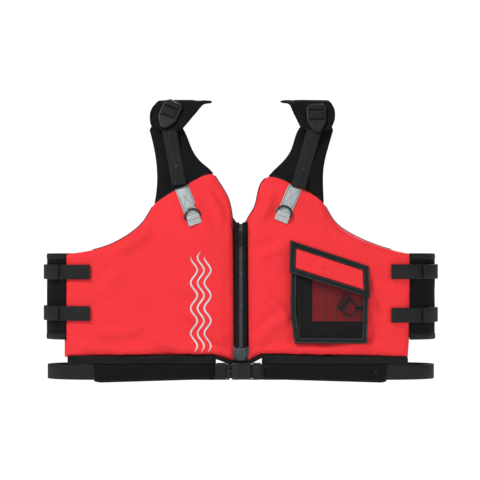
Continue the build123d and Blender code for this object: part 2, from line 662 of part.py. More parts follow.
with BuildPart() as pull:
    with BuildSketch(Plane.XZ.offset(PULL_Y - PULL_T / 2)):
        with Locations((0, SLIDER_Z + 0.8)):
            Rectangle(PULL_W, PULL_L - PULL_W / 2, align=(Align.CENTER, Align.MAX))
        with Locations((0, SLIDER_Z + 0.8 - PULL_L + PULL_W / 2)):
            Circle(PULL_W / 2)
        with Locations((0, SLIDER_Z + 1)):
            Rectangle(3, 7, align=(Align.CENTER, Align.MAX), mode=Mode.SUBTRACT)
        with Locations((0, SLIDER_Z)):
            Rectangle(PULL_W, PULL_T)  # the bar through the bail
    extrude(amount=PULL_T)
save(pull.part, "zip_pull")

GUARD = [(-9.3, 62), (8.4, 62), (6.6, 256), (9.0, 279), (5, 271), (-5, 270), (-14.2, 283), (-10.5, 250)]
save(plate(corners(GUARD), ZIP_Y - GUARD_BACK - GUARD_T, ZIP_Y - GUARD_BACK), "zip_guard")

# Pocket: gusset, mesh face and binding, the cloth behind the mesh, and the flap with its binding
cloth = FACE_Y[0] + FIT
rim = POCKET_Y - POCKET_WALL
POCKET_FRONT = corners(POCKET)
(left_x, _), (waist_x, waist_z), (low_left_x, low_z), (low_right_x, _), (right_x, _) = POCKET
OPEN_Z = 260.0  # above the top of the pocket
GUSSET_INSIDE = [
    (left_x + GUSSET, OPEN_Z),
    (waist_x + GUSSET, waist_z),
    (low_left_x + GUSSET, low_z + GUSSET),
    (low_right_x - GUSSET, low_z + GUSSET),
    (right_x - GUSSET, 145),
    (right_x - GUSSET, OPEN_Z),
]
with BuildPart() as gusset:
    add(plate(POCKET_FRONT, cloth, rim - FIT))
    add(plate(corners(GUSSET_INSIDE), 0, WIDE), mode=Mode.SUBTRACT)
save(gusset.part, "pocket_gusset")
INNER_POCKET = corners([
    (left_x + BINDING, 200),
    (waist_x + BINDING, waist_z),
    (low_left_x + BINDING - 2, low_z + BINDING - 1),
    (low_right_x - BINDING + 2, low_z + BINDING - 1),
    (right_x - BINDING + 1, 145),
    (right_x - BINDING + 1, 200),
])
with BuildPart() as binding:
    add(plate(POCKET_FRONT, rim, POCKET_Y + RIM_RAISE))
    add(plate(INNER_POCKET, 0, WIDE), mode=Mode.SUBTRACT)
save(binding.part, "pocket_binding")
with BuildPart() as mesh:
    add(plate(POCKET_FRONT, rim, POCKET_Y))
    add(plate(INNER_POCKET, 0, WIDE), mode=Mode.INTERSECT)
save(mesh.part, "pocket_mesh")
PATCH = [(95, 180), (95, 78), (206, 78), (206, 105), (121, 105), (121, 172)]
save(plate(corners(PATCH), cloth, cloth + PATCH_T), "pocket_patch")

hinge_line = Vector(FLAP[1][0] - FLAP[0][0], 0, FLAP[1][1] - FLAP[0][1]).normalized()
square = Vector(hinge_line.Z, 0, -hinge_line.X)  # down the flap, seen from the front
depth = max((Vector(x, 0, z) - Vector(FLAP[0][0], 0, FLAP[0][1])).dot(square) for x, z in FLAP)
tilt = asin((FLAP_Y[1] - FLAP_Y[0]) / depth)
down_flap = square * cos(tilt) + Vector(0, -sin(tilt), 0)
flap_plane = Plane(
    origin=(FLAP[0][0], -FLAP_Y[0], FLAP[0][1]),
    x_dir=hinge_line,
    z_dir=hinge_line.cross(down_flap * -1),
)
flap_corners = []
for x, z in FLAP:
    away = Vector(x - FLAP[0][0], 0, z - FLAP[0][1])
    flap_corners.append((away.dot(hinge_line), -away.dot(square) / cos(tilt)))
with BuildPart() as flap_frame:
    with BuildSketch(flap_plane) as whole_flap:
        with BuildLine():
            draw(corners(flap_corners))
        make_face()
        inside = offset(whole_flap.sketch_local, -BINDING, kind=Kind.INTERSECTION, mode=Mode.PRIVATE)
        add(inside, mode=Mode.SUBTRACT)
    extrude(amount=FLAP_T + FLAP_RIM)
with BuildPart() as flap:
    with BuildSketch(flap_plane):
        with BuildLine():
            draw(corners(flap_corners))
        make_face()
        offset(amount=-BINDING - FLAP_SEAM, kind=Kind.INTERSECTION, mode=Mode.REPLACE)
    extrude(amount=FLAP_T)
save(flap_frame.part, "flap_binding")
save(flap.part, "pocket_flap")

# The snap hook inside the pocket: its ring hangs in the loop of a webbing tab, and its gate turns inwards
tab_eye = KEY_WIRE_R + KEY_PLAY
with BuildPart() as tab:
    with BuildSketch(Plane.XY.offset(TAB_END[1] - TAB_W / 2)):
        with Locations((TAB_END[0] + 1, -HOOK_Y)):
            Rectangle(TAB_L - 1, WEB_T, align=(Align.MIN, Align.CENTER))
        with Locations((TAB_END[0], -HOOK_Y)):
            Circle(tab_eye + WEB_T / 2)
            Circle(tab_eye, mode=Mode.SUBTRACT)
    extrude(amount=TAB_W)
save(tab.part, "hook_tab")

ring_centre = (TAB_END[0] - KEY_RING_R, -HOOK_Y, TAB_END[1])
hook_plane = Plane(
    origin=(HOOK_TOP[0], -HOOK_Y, HOOK_TOP[1]),
    x_dir=(cos(radians(HOOK_TURN)), 0, sin(radians(HOOK_TURN))),
    z_dir=(0, -1, 0),
)
hook_near = hook_plane.offset(-HOOK_T / 2)
gate_side = (HOOK_WALL - HOOK_W) / 2
with BuildPart() as hook:
    with Locations(Plane(origin=ring_centre, z_dir=(0, -1, 0))):
        Torus(KEY_RING_R, KEY_WIRE_R)
    with BuildSketch(hook_near):
        with Locations((HOOK_L / 2 - HOOK_W / 2, 0)):
            SlotOverall(HOOK_L, HOOK_W)
            SlotOverall(HOOK_L - 2 * HOOK_WALL, HOOK_W - 2 * HOOK_WALL, mode=Mode.SUBTRACT)
        with Locations((GATE_L / 2 + GATE_GAP, gate_side)):
            Rectangle(GATE_L + 2 * GATE_GAP, HOOK_WALL + 1, mode=Mode.SUBTRACT)
    extrude(amount=HOOK_T)
save(hook.part, "snap_hook")
with BuildPart() as gate:
    with BuildSketch(hook_near):
        # The end that turns is round about its hinge
        with Locations((GATE_GAP + HOOK_WALL / 2, gate_side)):
            Circle(HOOK_WALL / 2)
            Rectangle(GATE_L - HOOK_WALL / 2, HOOK_WALL, align=(Align.MIN, Align.CENTER))
    extrude(amount=HOOK_T)
save(gate.part, "snap_hook_gate")
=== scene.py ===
"""The life jacket's looks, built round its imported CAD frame. Units are metres. The front faces -Y, +X is the
wearer's left and +Z is up. Outlines, faces and thicknesses are read from the CAD nodes, so every soft piece
fills its own solid."""

import math
import random

import bmesh
import bpy
import numpy as np
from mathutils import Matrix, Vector
from mathutils.bvhtree import BVHTree
from mathutils.geometry import delaunay_2d_cdt
from mathutils.kdtree import KDTree
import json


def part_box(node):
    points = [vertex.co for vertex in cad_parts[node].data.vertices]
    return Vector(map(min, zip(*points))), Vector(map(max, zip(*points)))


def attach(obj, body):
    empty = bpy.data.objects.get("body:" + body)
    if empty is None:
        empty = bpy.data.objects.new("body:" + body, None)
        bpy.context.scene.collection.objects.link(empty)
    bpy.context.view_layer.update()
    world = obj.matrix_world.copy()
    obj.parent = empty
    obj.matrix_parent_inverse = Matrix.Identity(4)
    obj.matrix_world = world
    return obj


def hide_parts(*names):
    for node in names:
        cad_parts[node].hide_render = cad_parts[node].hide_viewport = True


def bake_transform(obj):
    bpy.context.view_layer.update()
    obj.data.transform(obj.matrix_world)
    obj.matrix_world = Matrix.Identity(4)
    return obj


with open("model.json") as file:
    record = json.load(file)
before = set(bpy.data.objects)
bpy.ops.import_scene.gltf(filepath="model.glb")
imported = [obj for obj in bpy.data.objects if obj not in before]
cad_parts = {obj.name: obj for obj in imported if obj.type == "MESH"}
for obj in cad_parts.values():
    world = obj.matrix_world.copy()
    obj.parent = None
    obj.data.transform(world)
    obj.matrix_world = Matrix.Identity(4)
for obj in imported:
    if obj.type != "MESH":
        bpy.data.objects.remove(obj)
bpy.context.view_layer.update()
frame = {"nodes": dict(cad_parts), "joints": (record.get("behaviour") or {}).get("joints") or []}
nodes = frame["nodes"]
joints = {joint["name"]: joint for joint in frame["joints"]}

MM = 0.001
X, Y, Z = Vector((1, 0, 0)), Vector((0, 1, 0)), Vector((0, 0, 1))
FRONT, BACK = -1, 1  # which way a face looks along Y
SIDES = {"right": -1, "left": 1}
STRAPS = ("right_upper", "right_lower", "left_upper", "left_lower")

SIDE_CENTRE_X = 251 * MM  # the jacket's sides are round, about upright axes here
FACE_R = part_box("left_side_panel")[1].x - SIDE_CENTRE_X
WEB, WEB_T = 25 * MM, 1.8 * MM
TAPE_T = 1.2 * MM
STEP = 4.5 * MM  # between the points of a panel's cloth
SIM_FRAMES = 20


# ---------------------------------------------------------------- camera, light and floor


def aimed(item, location, target):
    item.location = location
    item.rotation_euler = (Vector(target) - Vector(location)).to_track_quat("-Z", "Y").to_euler()
    bpy.context.collection.objects.link(item)
    return item


def area_light(name, location, target, size, power):
    light = bpy.data.lights.new(name, "AREA")
    light.shape = "DISK"
    light.size = size
    light.energy = power
    aimed(bpy.data.objects.new(name, light), location, target)


VIEW_WIDTH = 0.816
LENS, SENSOR = 260.0, 36.0
MIDDLE = Vector((-0.0014, -FACE_R, 0.243))
camera = bpy.data.cameras.new("camera")
camera.lens = LENS
eye = MIDDLE - Y * VIEW_WIDTH * LENS / SENSOR
bpy.context.scene.camera = aimed(bpy.data.objects.new("camera", camera), eye, MIDDLE)

world = bpy.data.worlds.new("studio")
world.use_nodes = True
world.node_tree.nodes["Background"].inputs["Color"].default_value = (1, 1, 1, 1)
AMBIENT, WHITE = 0.36, 1.06  # the strength of the light all round, and of the backdrop as it is seen
seen = world.node_tree.nodes.new("ShaderNodeLightPath")
strength = world.node_tree.nodes.new("ShaderNodeMath")
strength.operation = "MULTIPLY_ADD"
strength.inputs[1].default_value, strength.inputs[2].default_value = WHITE - AMBIENT, AMBIENT
world.node_tree.links.new(seen.outputs["Is Camera Ray"], strength.inputs[0])
world.node_tree.links.new(strength.outputs["Value"], world.node_tree.nodes["Background"].inputs["Strength"])
bpy.context.scene.world = world
bpy.context.scene.view_settings.view_transform = "Standard"

area_light("key", (-1.5, -1.45, 2.35), (0, 0, 0.2), 0.6, 78)
area_light("fill", (1.9, -1.4, 0.6), (0, 0, 0.2), 1.2, 17)
area_light("back", (0.9, 2.2, 1.6), (0, 0, 0.2), 1.0, 50)


# ---------------------------------------------------------------- materials


class Look:
    """A new material with its constants on the shader's own sockets, and the nodes that are added to it."""

    def __init__(self, name, color, roughness, specular, metallic=0.0):
        self.material = bpy.data.materials.new(name)
        self.material.use_nodes = True
        self.nodes, self.links = self.material.node_tree.nodes, self.material.node_tree.links
        self.shader = self.nodes["Principled BSDF"].inputs
        self.shader["Base Color"].default_value = (*color, 1)
        self.shader["Roughness"].default_value = roughness
        self.shader["Metallic"].default_value = metallic
        self.shader["Specular IOR Level"].default_value = specular
        self.coords = self.nodes.new("ShaderNodeTexCoord").outputs

    def join(self, value, socket):
        """Gives a socket a number, or links another node to it."""
        if isinstance(value, (int, float)):
            socket.default_value = value
        else:
            self.links.new(value, socket)

    def noise(self, scale, detail):
        node = self.nodes.new("ShaderNodeTexNoise")
        self.join(scale, node.inputs["Scale"])
        self.join(detail, node.inputs["Detail"])
        self.join(self.coords["Object"], node.inputs["Vector"])
        return node.outputs["Fac"]

    def calc(self, operation, *values):
        node = self.nodes.new("ShaderNodeMath")
        node.operation = operation
        for value, socket in zip(values, node.inputs):
            self.join(value, socket)
        return node.outputs["Value"]

    def bands(self, space, axis, period):
        """A smooth stripe from 0 to 1 along an axis of a coordinate in metres."""
        node = self.nodes.new("ShaderNodeTexWave")
        node.bands_direction = axis
        self.join(math.pi / 10 / period, node.inputs["Scale"])
        self.join(self.coords[space], node.inputs["Vector"])
        return node.outputs["Fac"]

    def tint(self, share, *ends):
        """The base colour goes from one to another with a share. Each end is (the share there, colour)."""
        node = self.nodes.new("ShaderNodeValToRGB")
        for end, (at, color) in zip(node.color_ramp.elements, ends):
            end.position = at
            end.color = (*color, 1)
        self.join(share, node.inputs["Fac"])
        self.join(node.outputs["Color"], self.shader["Base Color"])

    def bump(self, height, strength, distance):
        node = self.nodes.new("ShaderNodeBump")
        self.join(strength, node.inputs["Strength"])
        self.join(distance, node.inputs["Distance"])
        self.join(height, node.inputs["Height"])
        self.join(node.outputs["Normal"], self.shader["Normal"])


def shade(color, share):
    return tuple(min(1.0, channel * share) for channel in color)


def woven(name, color, pitch, roughness=0.75, depth=0.12, contrast=0.16, mottle=0.1, specular=0.08,
          axes=("X", "Y"), space="UV"):
    """Plain woven cloth with its threads a pitch apart, and slow changes of shade. Lengths are in mm."""
    look = Look(name, color, roughness, specular)
    weave = look.calc("MULTIPLY", *[look.bands(space, axis, pitch * MM) for axis in axes])
    slow, fine = look.noise(14.0, 4.0), look.noise(900.0, 2.0)
    total = look.calc("MULTIPLY_ADD", weave, contrast, look.calc("MULTIPLY", slow, 2 * mottle))
    total = look.calc("MULTIPLY_ADD", fine, 0.12, total)
    middle = contrast / 4 + mottle + 0.06
    look.tint(total, (0.0, shade(color, 1 - middle)), (2 * middle, shade(color, 1 + middle)))
    look.join(look.calc("MULTIPLY_ADD", slow, 0.16, roughness - 0.08), look.shader["Roughness"])
    look.bump(look.calc("MULTIPLY_ADD", fine, 0.6, weave), 0.55, depth * MM)
    return look.material


def ribbed(name, color, rib=1.5, fold=4.2):
    """Narrow woven tape: slanted ribs along it, mirrored in rows across it, with painted shade in their
    grooves and painted highlight on their crests. Rib and fold are in mm.
    """
    look = Look(name, color, 0.62, 0.12)
    split = look.nodes.new("ShaderNodeSeparateXYZ")
    look.join(look.coords["UV"], split.inputs["Vector"])
    slant = look.calc("PINGPONG", split.outputs["X"], fold * MM)
    phase = look.calc("MULTIPLY", look.calc("ADD", split.outputs["Y"], slant), 2 * math.pi / rib / MM)
    ribs = look.calc("MULTIPLY_ADD", look.calc("SINE", phase), 0.5, 0.5)
    fine, slow = look.noise(1300.0, 2.0), look.noise(20.0, 3.0)
    total = look.calc("MULTIPLY_ADD", ribs, 0.3, look.calc("MULTIPLY", fine, 0.35))
    total = look.calc("MULTIPLY_ADD", slow, 0.35, total)
    # Painted shade and highlight: the colour goes from dark in the ribs' grooves to light on their crests, as
    # the bump does, with random tone from the noise on top
    look.tint(total, (0.15, shade(color, 0.55)), (0.8, shade(color, 1.7)))
    look.bump(look.calc("MULTIPLY_ADD", fine, 0.5, ribs), 0.7, 0.25 * MM)
    return look.material


def moulded(name, color, roughness, specular=0.5, grain=0.35, metallic=0.0):
    """Moulded plastic, thread or coated metal: a fine grain, and wear that shows as changes of gloss."""
    look = Look(name, color, roughness, specular, metallic)
    fine, slow = look.noise(1800.0, 2.0), look.noise(90.0, 4.0)
    look.tint(slow, (0.3, shade(color, 0.85)), (0.7, shade(color, 1.2)))
    look.join(look.calc("MULTIPLY_ADD", slow, 0.2, roughness - 0.1), look.shader["Roughness"])
    look.bump(fine, grain, 0.06 * MM)
    return look.material


RED = (0.685, 0.030, 0.0365)
BLACK = (0.0053, 0.0054, 0.0057)
red_cloth = woven("red_nylon", RED, 0.62, roughness=0.7, mottle=0.06)
MATT = {"roughness": 0.85, "contrast": 0.5, "mottle": 0.3}
black_cloth = woven("black_nylon", BLACK, 0.7, **MATT)
pad_cloth = woven("pad_nylon", BLACK, 0.7, axes=("X", "Z"), space="Object", **MATT)
lining_cloth = woven("lining_nylon", (0.012, 0.0125, 0.013), 0.8, contrast=0.4, mottle=0.2)
neoprene = woven("neoprene_knit", (0.0048, 0.005, 0.0055), 1.0, roughness=0.9, depth=0.08, contrast=0.3,
                 mottle=0.3)
binding_tape = ribbed("grosgrain_binding", (0.0075, 0.0095, 0.0095), rib=1.1, fold=60.0)
hem_tape = ribbed("hem_grosgrain", (0.0042, 0.0047, 0.0048), rib=1.1, fold=60.0)
zip_knit = woven("zip_tape_knit", (0.007, 0.0072, 0.008), 0.9, contrast=0.5)
reflective = woven("silver_tape", (0.335, 0.36, 0.368), 0.9, roughness=0.42, depth=0.05, contrast=0.1,
                   mottle=0.05, specular=0.6)
webbing = ribbed("polyester_webbing", (0.0098, 0.01, 0.0105))
black_thread = moulded("black_thread", (0.016, 0.017, 0.018), 0.7, specular=0.2)
red_thread = moulded("red_thread", (0.27, 0.01, 0.013), 0.65, specular=0.2)
grey_thread = moulded("grey_thread", (0.17, 0.185, 0.19), 0.6, specular=0.2)
dark_thread = moulded("dark_grey_thread", (0.010, 0.0105, 0.011), 0.6, specular=0.2)
strap_thread = moulded("strap_thread", (0.045, 0.047, 0.05), 0.6, specular=0.2)
white_thread = moulded("white_thread", (0.75, 0.75, 0.75), 0.6, specular=0.2)
acetal = moulded("black_acetal", (0.0085, 0.009, 0.0098), 0.4, specular=0.3, grain=0.12)
# Partly painted highlight: the base colour is lighter than the teeth's own dark plastic, to stand in for the
# glints along the zip. The zip's end stop and retainer share it
tooth_plastic = moulded("zip_tooth_plastic", (0.05, 0.052, 0.056), 0.25)
zip_grey = moulded("grey_film", (0.05, 0.053, 0.062), 0.55, specular=0.25)
coated_wire = moulded("black_coated_steel", (0.009, 0.01, 0.012), 0.22, specular=0.55, grain=0.1,
                      metallic=0.1)
net_thread = moulded("mesh_thread", (0.0095, 0.0095, 0.0105), 0.6, specular=0.15)
silver_ink = moulded("silver_print", (0.50, 0.49, 0.50), 0.5, grain=0.6, specular=0.3)


# ---------------------------------------------------------------- meshes and outlines


def new_mesh(name, vertices, faces, surfaces, uvs=None, smooth=True):
    """A mesh object. uvs is one (u, v) in metres for each vertex."""
    mesh = bpy.data.meshes.new(name)
    mesh.from_pydata([tuple(v) for v in vertices], [], [tuple(int(i) for i in f) for f in faces])
    if uvs is not None:
        layer = mesh.uv_layers.new(name="cloth")
        corner = np.zeros(len(mesh.loops), dtype=np.int32)
        mesh.loops.foreach_get("vertex_index", corner)
        layer.data.foreach_set("uv", np.array(uvs, dtype=np.float32)[corner].ravel())
    mesh.polygons.foreach_set("use_smooth", [smooth] * len(mesh.polygons))
    for surface in surfaces if isinstance(surfaces, (list, tuple)) else [surfaces]:
        mesh.materials.append(surface)
    mesh.update()
    made = bpy.data.objects.new(name, mesh)
    bpy.context.collection.objects.link(made)
    return made


def place(piece, slot, *replaced, body="root"):
    """The piece rides on a body and stands for some CAD nodes. Its slot is not used."""
    if body:
        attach(piece, body)
    if replaced:
        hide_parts(*replaced)
    return piece


def tree_of(*objects):
    """A search tree over objects' own meshes."""
    vertices, faces = [], []
    for item in objects:
        mesh = (nodes[item] if isinstance(item, str) else item).data
        offset = len(vertices)
        vertices += [v.co.copy() for v in mesh.vertices]
        faces += [[offset + i for i in p.vertices] for p in mesh.polygons]
    return BVHTree.FromPolygons(vertices, faces)


def surface_y(tree, x, z, facing):
    """Where a line along Y first meets a tree, from the side that the surface faces. None if it doesn't."""
    hit = tree.ray_cast(Vector((x, facing, z)), Vector((0, -facing, 0)))[0]
    return hit.y if hit else None


def outlines(node, facing):
    """The outlines, in x and z, of the faces of a CAD node that look a given way. The largest is first, and
    each runs anticlockwise as seen from the front."""
    mesh = nodes[node].data
    spots = [(round(v.co.x, 5), round(v.co.z, 5)) for v in mesh.vertices]
    edges = set()
    for face in mesh.polygons:
        if face.normal.y * facing < 0.25:
            continue
        ring = [spots[i] for i in face.vertices]
        for edge in zip(ring, ring[1:] + ring[:1]):
            if edge[0] == edge[1]:
                continue
            if edge[::-1] in edges:
                edges.remove(edge[::-1])
            else:
                edges.add(edge)
    follows = dict(sorted(edges))
    loops = []
    while follows:
        start, point = follows.popitem()
        loop = [start]
        while point != start and point in follows:
            loop.append(point)
            point = follows.pop(point)
        loops.append(np.array(loop))
    loops = [loop if area(loop) > 0 else loop[::-1] for loop in loops if abs(area(loop)) > MM * MM]
    return sorted(loops, key=area, reverse=True)


def area(loop):
    after = np.roll(loop, -1, axis=0)
    return 0.5 * float((loop[:, 0] * after[:, 1] - after[:, 0] * loop[:, 1]).sum())


def turns(loop):
    """The turn at each point of an outline, in degrees, to the left."""
    into, out = loop - np.roll(loop, 1, axis=0), np.roll(loop, -1, axis=0) - loop
    cross = into[:, 0] * out[:, 1] - into[:, 1] * out[:, 0]
    return np.degrees(np.arctan2(cross, (into * out).sum(axis=1)))


SHARP = 28.0  # degrees of turn at a point of an outline that is a corner


def evenly(loop, step):
    """The same outline with its points a step apart. It keeps its sharp corners."""
    at = list(np.flatnonzero(np.abs(turns(loop)) > SHARP)) or [0]
    made = []
    for here, there in zip(at, at[1:] + [at[0] + len(loop)]):
        span = loop[np.arange(here, there + 1) % len(loop)]
        lengths = np.concatenate([[0], np.cumsum(np.linalg.norm(np.diff(span, axis=0), axis=1))])
        wanted = np.linspace(0, lengths[-1], max(1, round(lengths[-1] / step)) + 1)[:-1]
        made.append(np.column_stack([np.interp(wanted, lengths, span[:, axis]) for axis in (0, 1)]))
    return np.concatenate(made)


def distance_to(points, starts, ends):
    """How far each point is from the nearest of some segments."""
    best = np.full(len(points), 1.0)
    for a, b in zip(starts, ends):
        along = b - a
        share = np.clip(((points - a) @ along) / max(along @ along, 1e-12), 0, 1)
        best = np.minimum(best, np.linalg.norm(points - (a + share[:, None] * along), axis=1))
    return best


def edge_distance(points, loop):
    return distance_to(points, loop, np.roll(loop, -1, axis=0))


def within(points, loop):
    """Which points are inside an outline."""
    inside = np.zeros(len(points), bool)
    for a, b in zip(loop, np.roll(loop, -1, axis=0)):
        if a[1] == b[1]:
            continue
        crosses = (a[1] > points[:, 1]) != (b[1] > points[:, 1])
        at = a[0] + (points[:, 1] - a[1]) * (b[0] - a[0]) / (b[1] - a[1])
        inside ^= crosses & (points[:, 0] < at)
    return inside


def inset(loop, distance):
    """Points that run round inside an outline, a distance in from it."""
    into, out = loop - np.roll(loop, 1, axis=0), np.roll(loop, -1, axis=0) - loop
    along = into / np.linalg.norm(into, axis=1)[:, None] + out / np.linalg.norm(out, axis=1)[:, None]
    along /= np.maximum(np.linalg.norm(along, axis=1), 1e-9)[:, None]
    moved = loop + np.column_stack([-along[:, 1], along[:, 0]]) * distance
    return moved[(edge_distance(moved, loop) > 0.93 * distance) & within(moved, loop)]


def filled(loop, step, rings=()):
    """Points and triangles that fill an outline, with closer rings of points inside its edge."""
    low, high = loop.min(axis=0), loop.max(axis=0)
    rows = np.arange(low[1], high[1], step * 0.866)
    across = [np.arange(low[0] + (i % 2) * step / 2, high[0], step) for i in range(len(rows))]
    lattice = np.concatenate([np.column_stack([row, np.full(len(row), z)]) for row, z in zip(across, rows)])
    lattice = lattice[within(lattice, loop)]
    lattice = lattice[edge_distance(lattice, loop) > max([*rings, 0]) + 0.6 * step]
    inner = [inset(loop, distance) for distance in rings]
    everything = np.concatenate([loop, *inner, lattice])
    count = len(loop)
    edges = [(i, (i + 1) % count) for i in range(count)]
    made = delaunay_2d_cdt([Vector(p) for p in everything], edges, [], 1, 1e-7)
    points = np.array([tuple(p) for p in made[0]])
    return points, [tuple(f) for f in made[2]]


def rounding(distance, radius):
    """How much of its full height a padded edge has reached at a distance from the seam."""
    share = np.clip(distance / radius, 0, 1)
    return np.sqrt(1 - (1 - share) ** 2)


def hills(points, seed, size):
    """Smooth heights from about -1 to 1 over points, as a sum of slanted waves."""
    draw = random.Random(seed)
    total = np.zeros(len(points))
    for _ in range(9):
        angle, phase = draw.uniform(0, math.pi), draw.uniform(0, 2 * math.pi)
        wave = size * draw.uniform(0.6, 1.6)
        along = points[:, 0] * math.cos(angle) + points[:, 1] * math.sin(angle)
        total += np.sin(along * 2 * math.pi / wave + phase)
    return total / 4.5


RIM_RINGS = (0.5 * MM, 1.6 * MM, 3.6 * MM)  # how far in from a padded edge the rings of closer points run
CREASE_SHARE = 2.3  # of the height that each crease is given
CALM_REACH = 14 * MM  # how far round a flat zone the folds grow back
SEWN_REACH = 2.5 * MM  # how near an outline runs to the one that it is sewn to
HELD_EDGE = 2.2 * MM  # how much of a padded edge the simulation holds
EVEN_EDGE = 3.4 * MM  # how much of it takes its heights from further in


def crease_heights(points, creases):
    """The rise of the cloth along its creases. Each is (x, z, x, z, height, width), all in mm."""
    total = np.zeros(len(points))
    for x0, z0, x1, z1, height, width in creases:
        start, end = np.array((x0, z0)) * MM, np.array((x1, z1)) * MM
        along = end - start
        share = ((points - start) @ along) / (along @ along)
        bend = 0.05 * math.hypot(*along) * np.sin(share * math.pi)
        off = (points - start) @ np.array((-along[1], along[0])) / math.hypot(*along) - bend
        fade = np.exp(-4 * np.maximum(np.abs(share - 0.5) - 0.3, 0) ** 2 / 0.09)
        span = width * MM
        ridge = np.exp(-((off / span) ** 2)) - 0.6 * np.exp(-(((off - 1.5 * span) / span) ** 2))
        total += CREASE_SHARE * height * MM * ridge * fade
    return total


def calm(points, zones):
    """From 0 in zones where the cloth lies flat under straps, to 1 well outside them. Each is (x, x, z, z) in
    mm, for both sides of the jacket."""
    share = np.ones(len(points))
    away = np.abs(points[:, 0])
    for x0, x1, z0, z1 in zones:
        over_x = np.maximum(np.maximum(x0 * MM - away, away - x1 * MM), 0)
        over_z = np.maximum(np.maximum(z0 * MM - points[:, 1], points[:, 1] - z1 * MM), 0)
        share = np.minimum(share, np.clip(np.hypot(over_x, over_z) / CALM_REACH, 0, 1))
    return share


def pillow(name, loop, outer, inner, facing, surfaces, seed, rim=9 * MM, seam=0.42, step=STEP, sewn_to=(),
           folds=0.9 * MM, puckers=0.9 * MM, drawn_in=0.0, rings=RIM_RINGS, creases=(), flat_zones=()):
    """A closed padded piece within an outline, between the faces of two trees. Its edge is rounded over to a
    seam, except where it is sewn to another outline: there its face only dips. The second of its surfaces is
    its lining."""
    loop = evenly(loop, step)
    points, faces = filled(loop, step, rings)
    after = np.roll(loop, -1, axis=0)
    meets = np.zeros(len(loop), bool)
    for other in sewn_to:
        meets |= edge_distance(loop, other) < SEWN_REACH
    sewn = meets & np.roll(meets, -1)
    free_distance = distance_to(points, loop[~sewn], after[~sewn])
    sewn_distance = distance_to(points, loop[sewn], after[sewn])
    distance = np.minimum(free_distance, sewn_distance)
    near, far = np.array([faces_at(p, outer, inner, facing) for p in points]).T
    even_out(points, distance, near, far)
    near -= facing * drawn_in
    middle = far + (near - far) * seam
    dip = 1 - 0.13 * (1 - rounding(sewn_distance, 6 * MM))
    height = folds * hills(points, seed, 80 * MM)
    height += puckers * hills(points, seed + 1, 24 * MM) * np.exp(-free_distance / (22 * MM))
    height += crease_heights(points, creases)
    quiet = calm(points, flat_zones)
    height *= quiet
    height *= np.clip(distance / (7 * MM), 0, 1)
    front = middle + (near - middle) * rounding(free_distance, rim) * dip + facing * height
    back = middle + (far - middle) * rounding(free_distance, 0.6 * rim) * dip

    count, ring = len(points), len(loop)
    pinched = np.zeros(count, bool)
    pinched[:ring] = np.abs(front - back)[:ring] < 0.2 * MM
    back_index = np.arange(count)
    back_index[~pinched] = count + np.arange((~pinched).sum())
    vertices = [(x, y, z) for (x, z), y in zip(points, front)]
    vertices += [(x, y, z) for (x, z), y, same in zip(points, back, pinched) if not same]
    uvs = list(points) + list(points[~pinched])
    front_faces = [f[::-facing] for f in faces]
    for i in range(ring):
        after_i = (i + 1) % ring
        wall = (after_i, i, back_index[i], back_index[after_i])[::-facing]
        wall = tuple(dict.fromkeys(int(k) for k in wall))
        if len(wall) > 2:
            front_faces.append(wall)
    back_faces = [tuple(back_index[i] for i in f[::facing]) for f in faces]
    made = new_mesh(name, vertices, front_faces + back_faces, surfaces, uvs)
    if len(made.data.materials) > 1:
        for face in made.data.polygons[len(front_faces):]:
            face.material_index = 1
    fixed = list(range(count, len(vertices)))
    fixed += [int(i) for i in np.flatnonzero((distance < HELD_EDGE) | (quiet < 0.4))]
    made.vertex_groups.new(name="held").add(fixed, 1.0, "REPLACE")
    return made


def even_out(points, distance, *heights):
    """Gives the points near the edge the mean heights of their nearest neighbours further in, where the
    jacket isn't round."""
    deep = np.flatnonzero(distance >= EVEN_EDGE)
    if len(deep) < 3:
        return
    tree = KDTree(len(deep))
    for order, i in enumerate(deep):
        tree.insert((*points[i], 0), order)
    tree.balance()
    for i in np.flatnonzero((distance < EVEN_EDGE) & (np.abs(points[:, 0]) < SIDE_CENTRE_X)):
        beside = [deep[found[1]] for found in tree.find_n((*points[i], 0), 3)]
        for height in heights:
            height[i] = height[beside].mean()


def faces_at(point, outer, inner, facing):
    """Where the outer and inner faces are at a point, tried just beside it where a line misses them there."""
    for reach in (0, 0.4, 0.9, 2.0, 4.0):
        for eighth in range(8 if reach else 1):
            x = point[0] + reach * MM * math.cos(eighth * math.pi / 4)
            z = point[1] + reach * MM * math.sin(eighth * math.pi / 4)
            near, far = surface_y(outer, x, z, facing), surface_y(inner, x, z, -facing)
            if near is not None and far is not None:
                return near, far
    raise ValueError(f"no face near {point}")


CLOTH = {"quality": 5, "mass": 0.25, "tension_stiffness": 15, "compression_stiffness": 15,
         "shear_stiffness": 5, "bending_stiffness": 0.5, "use_pressure": True, "vertex_group_mass": "held"}


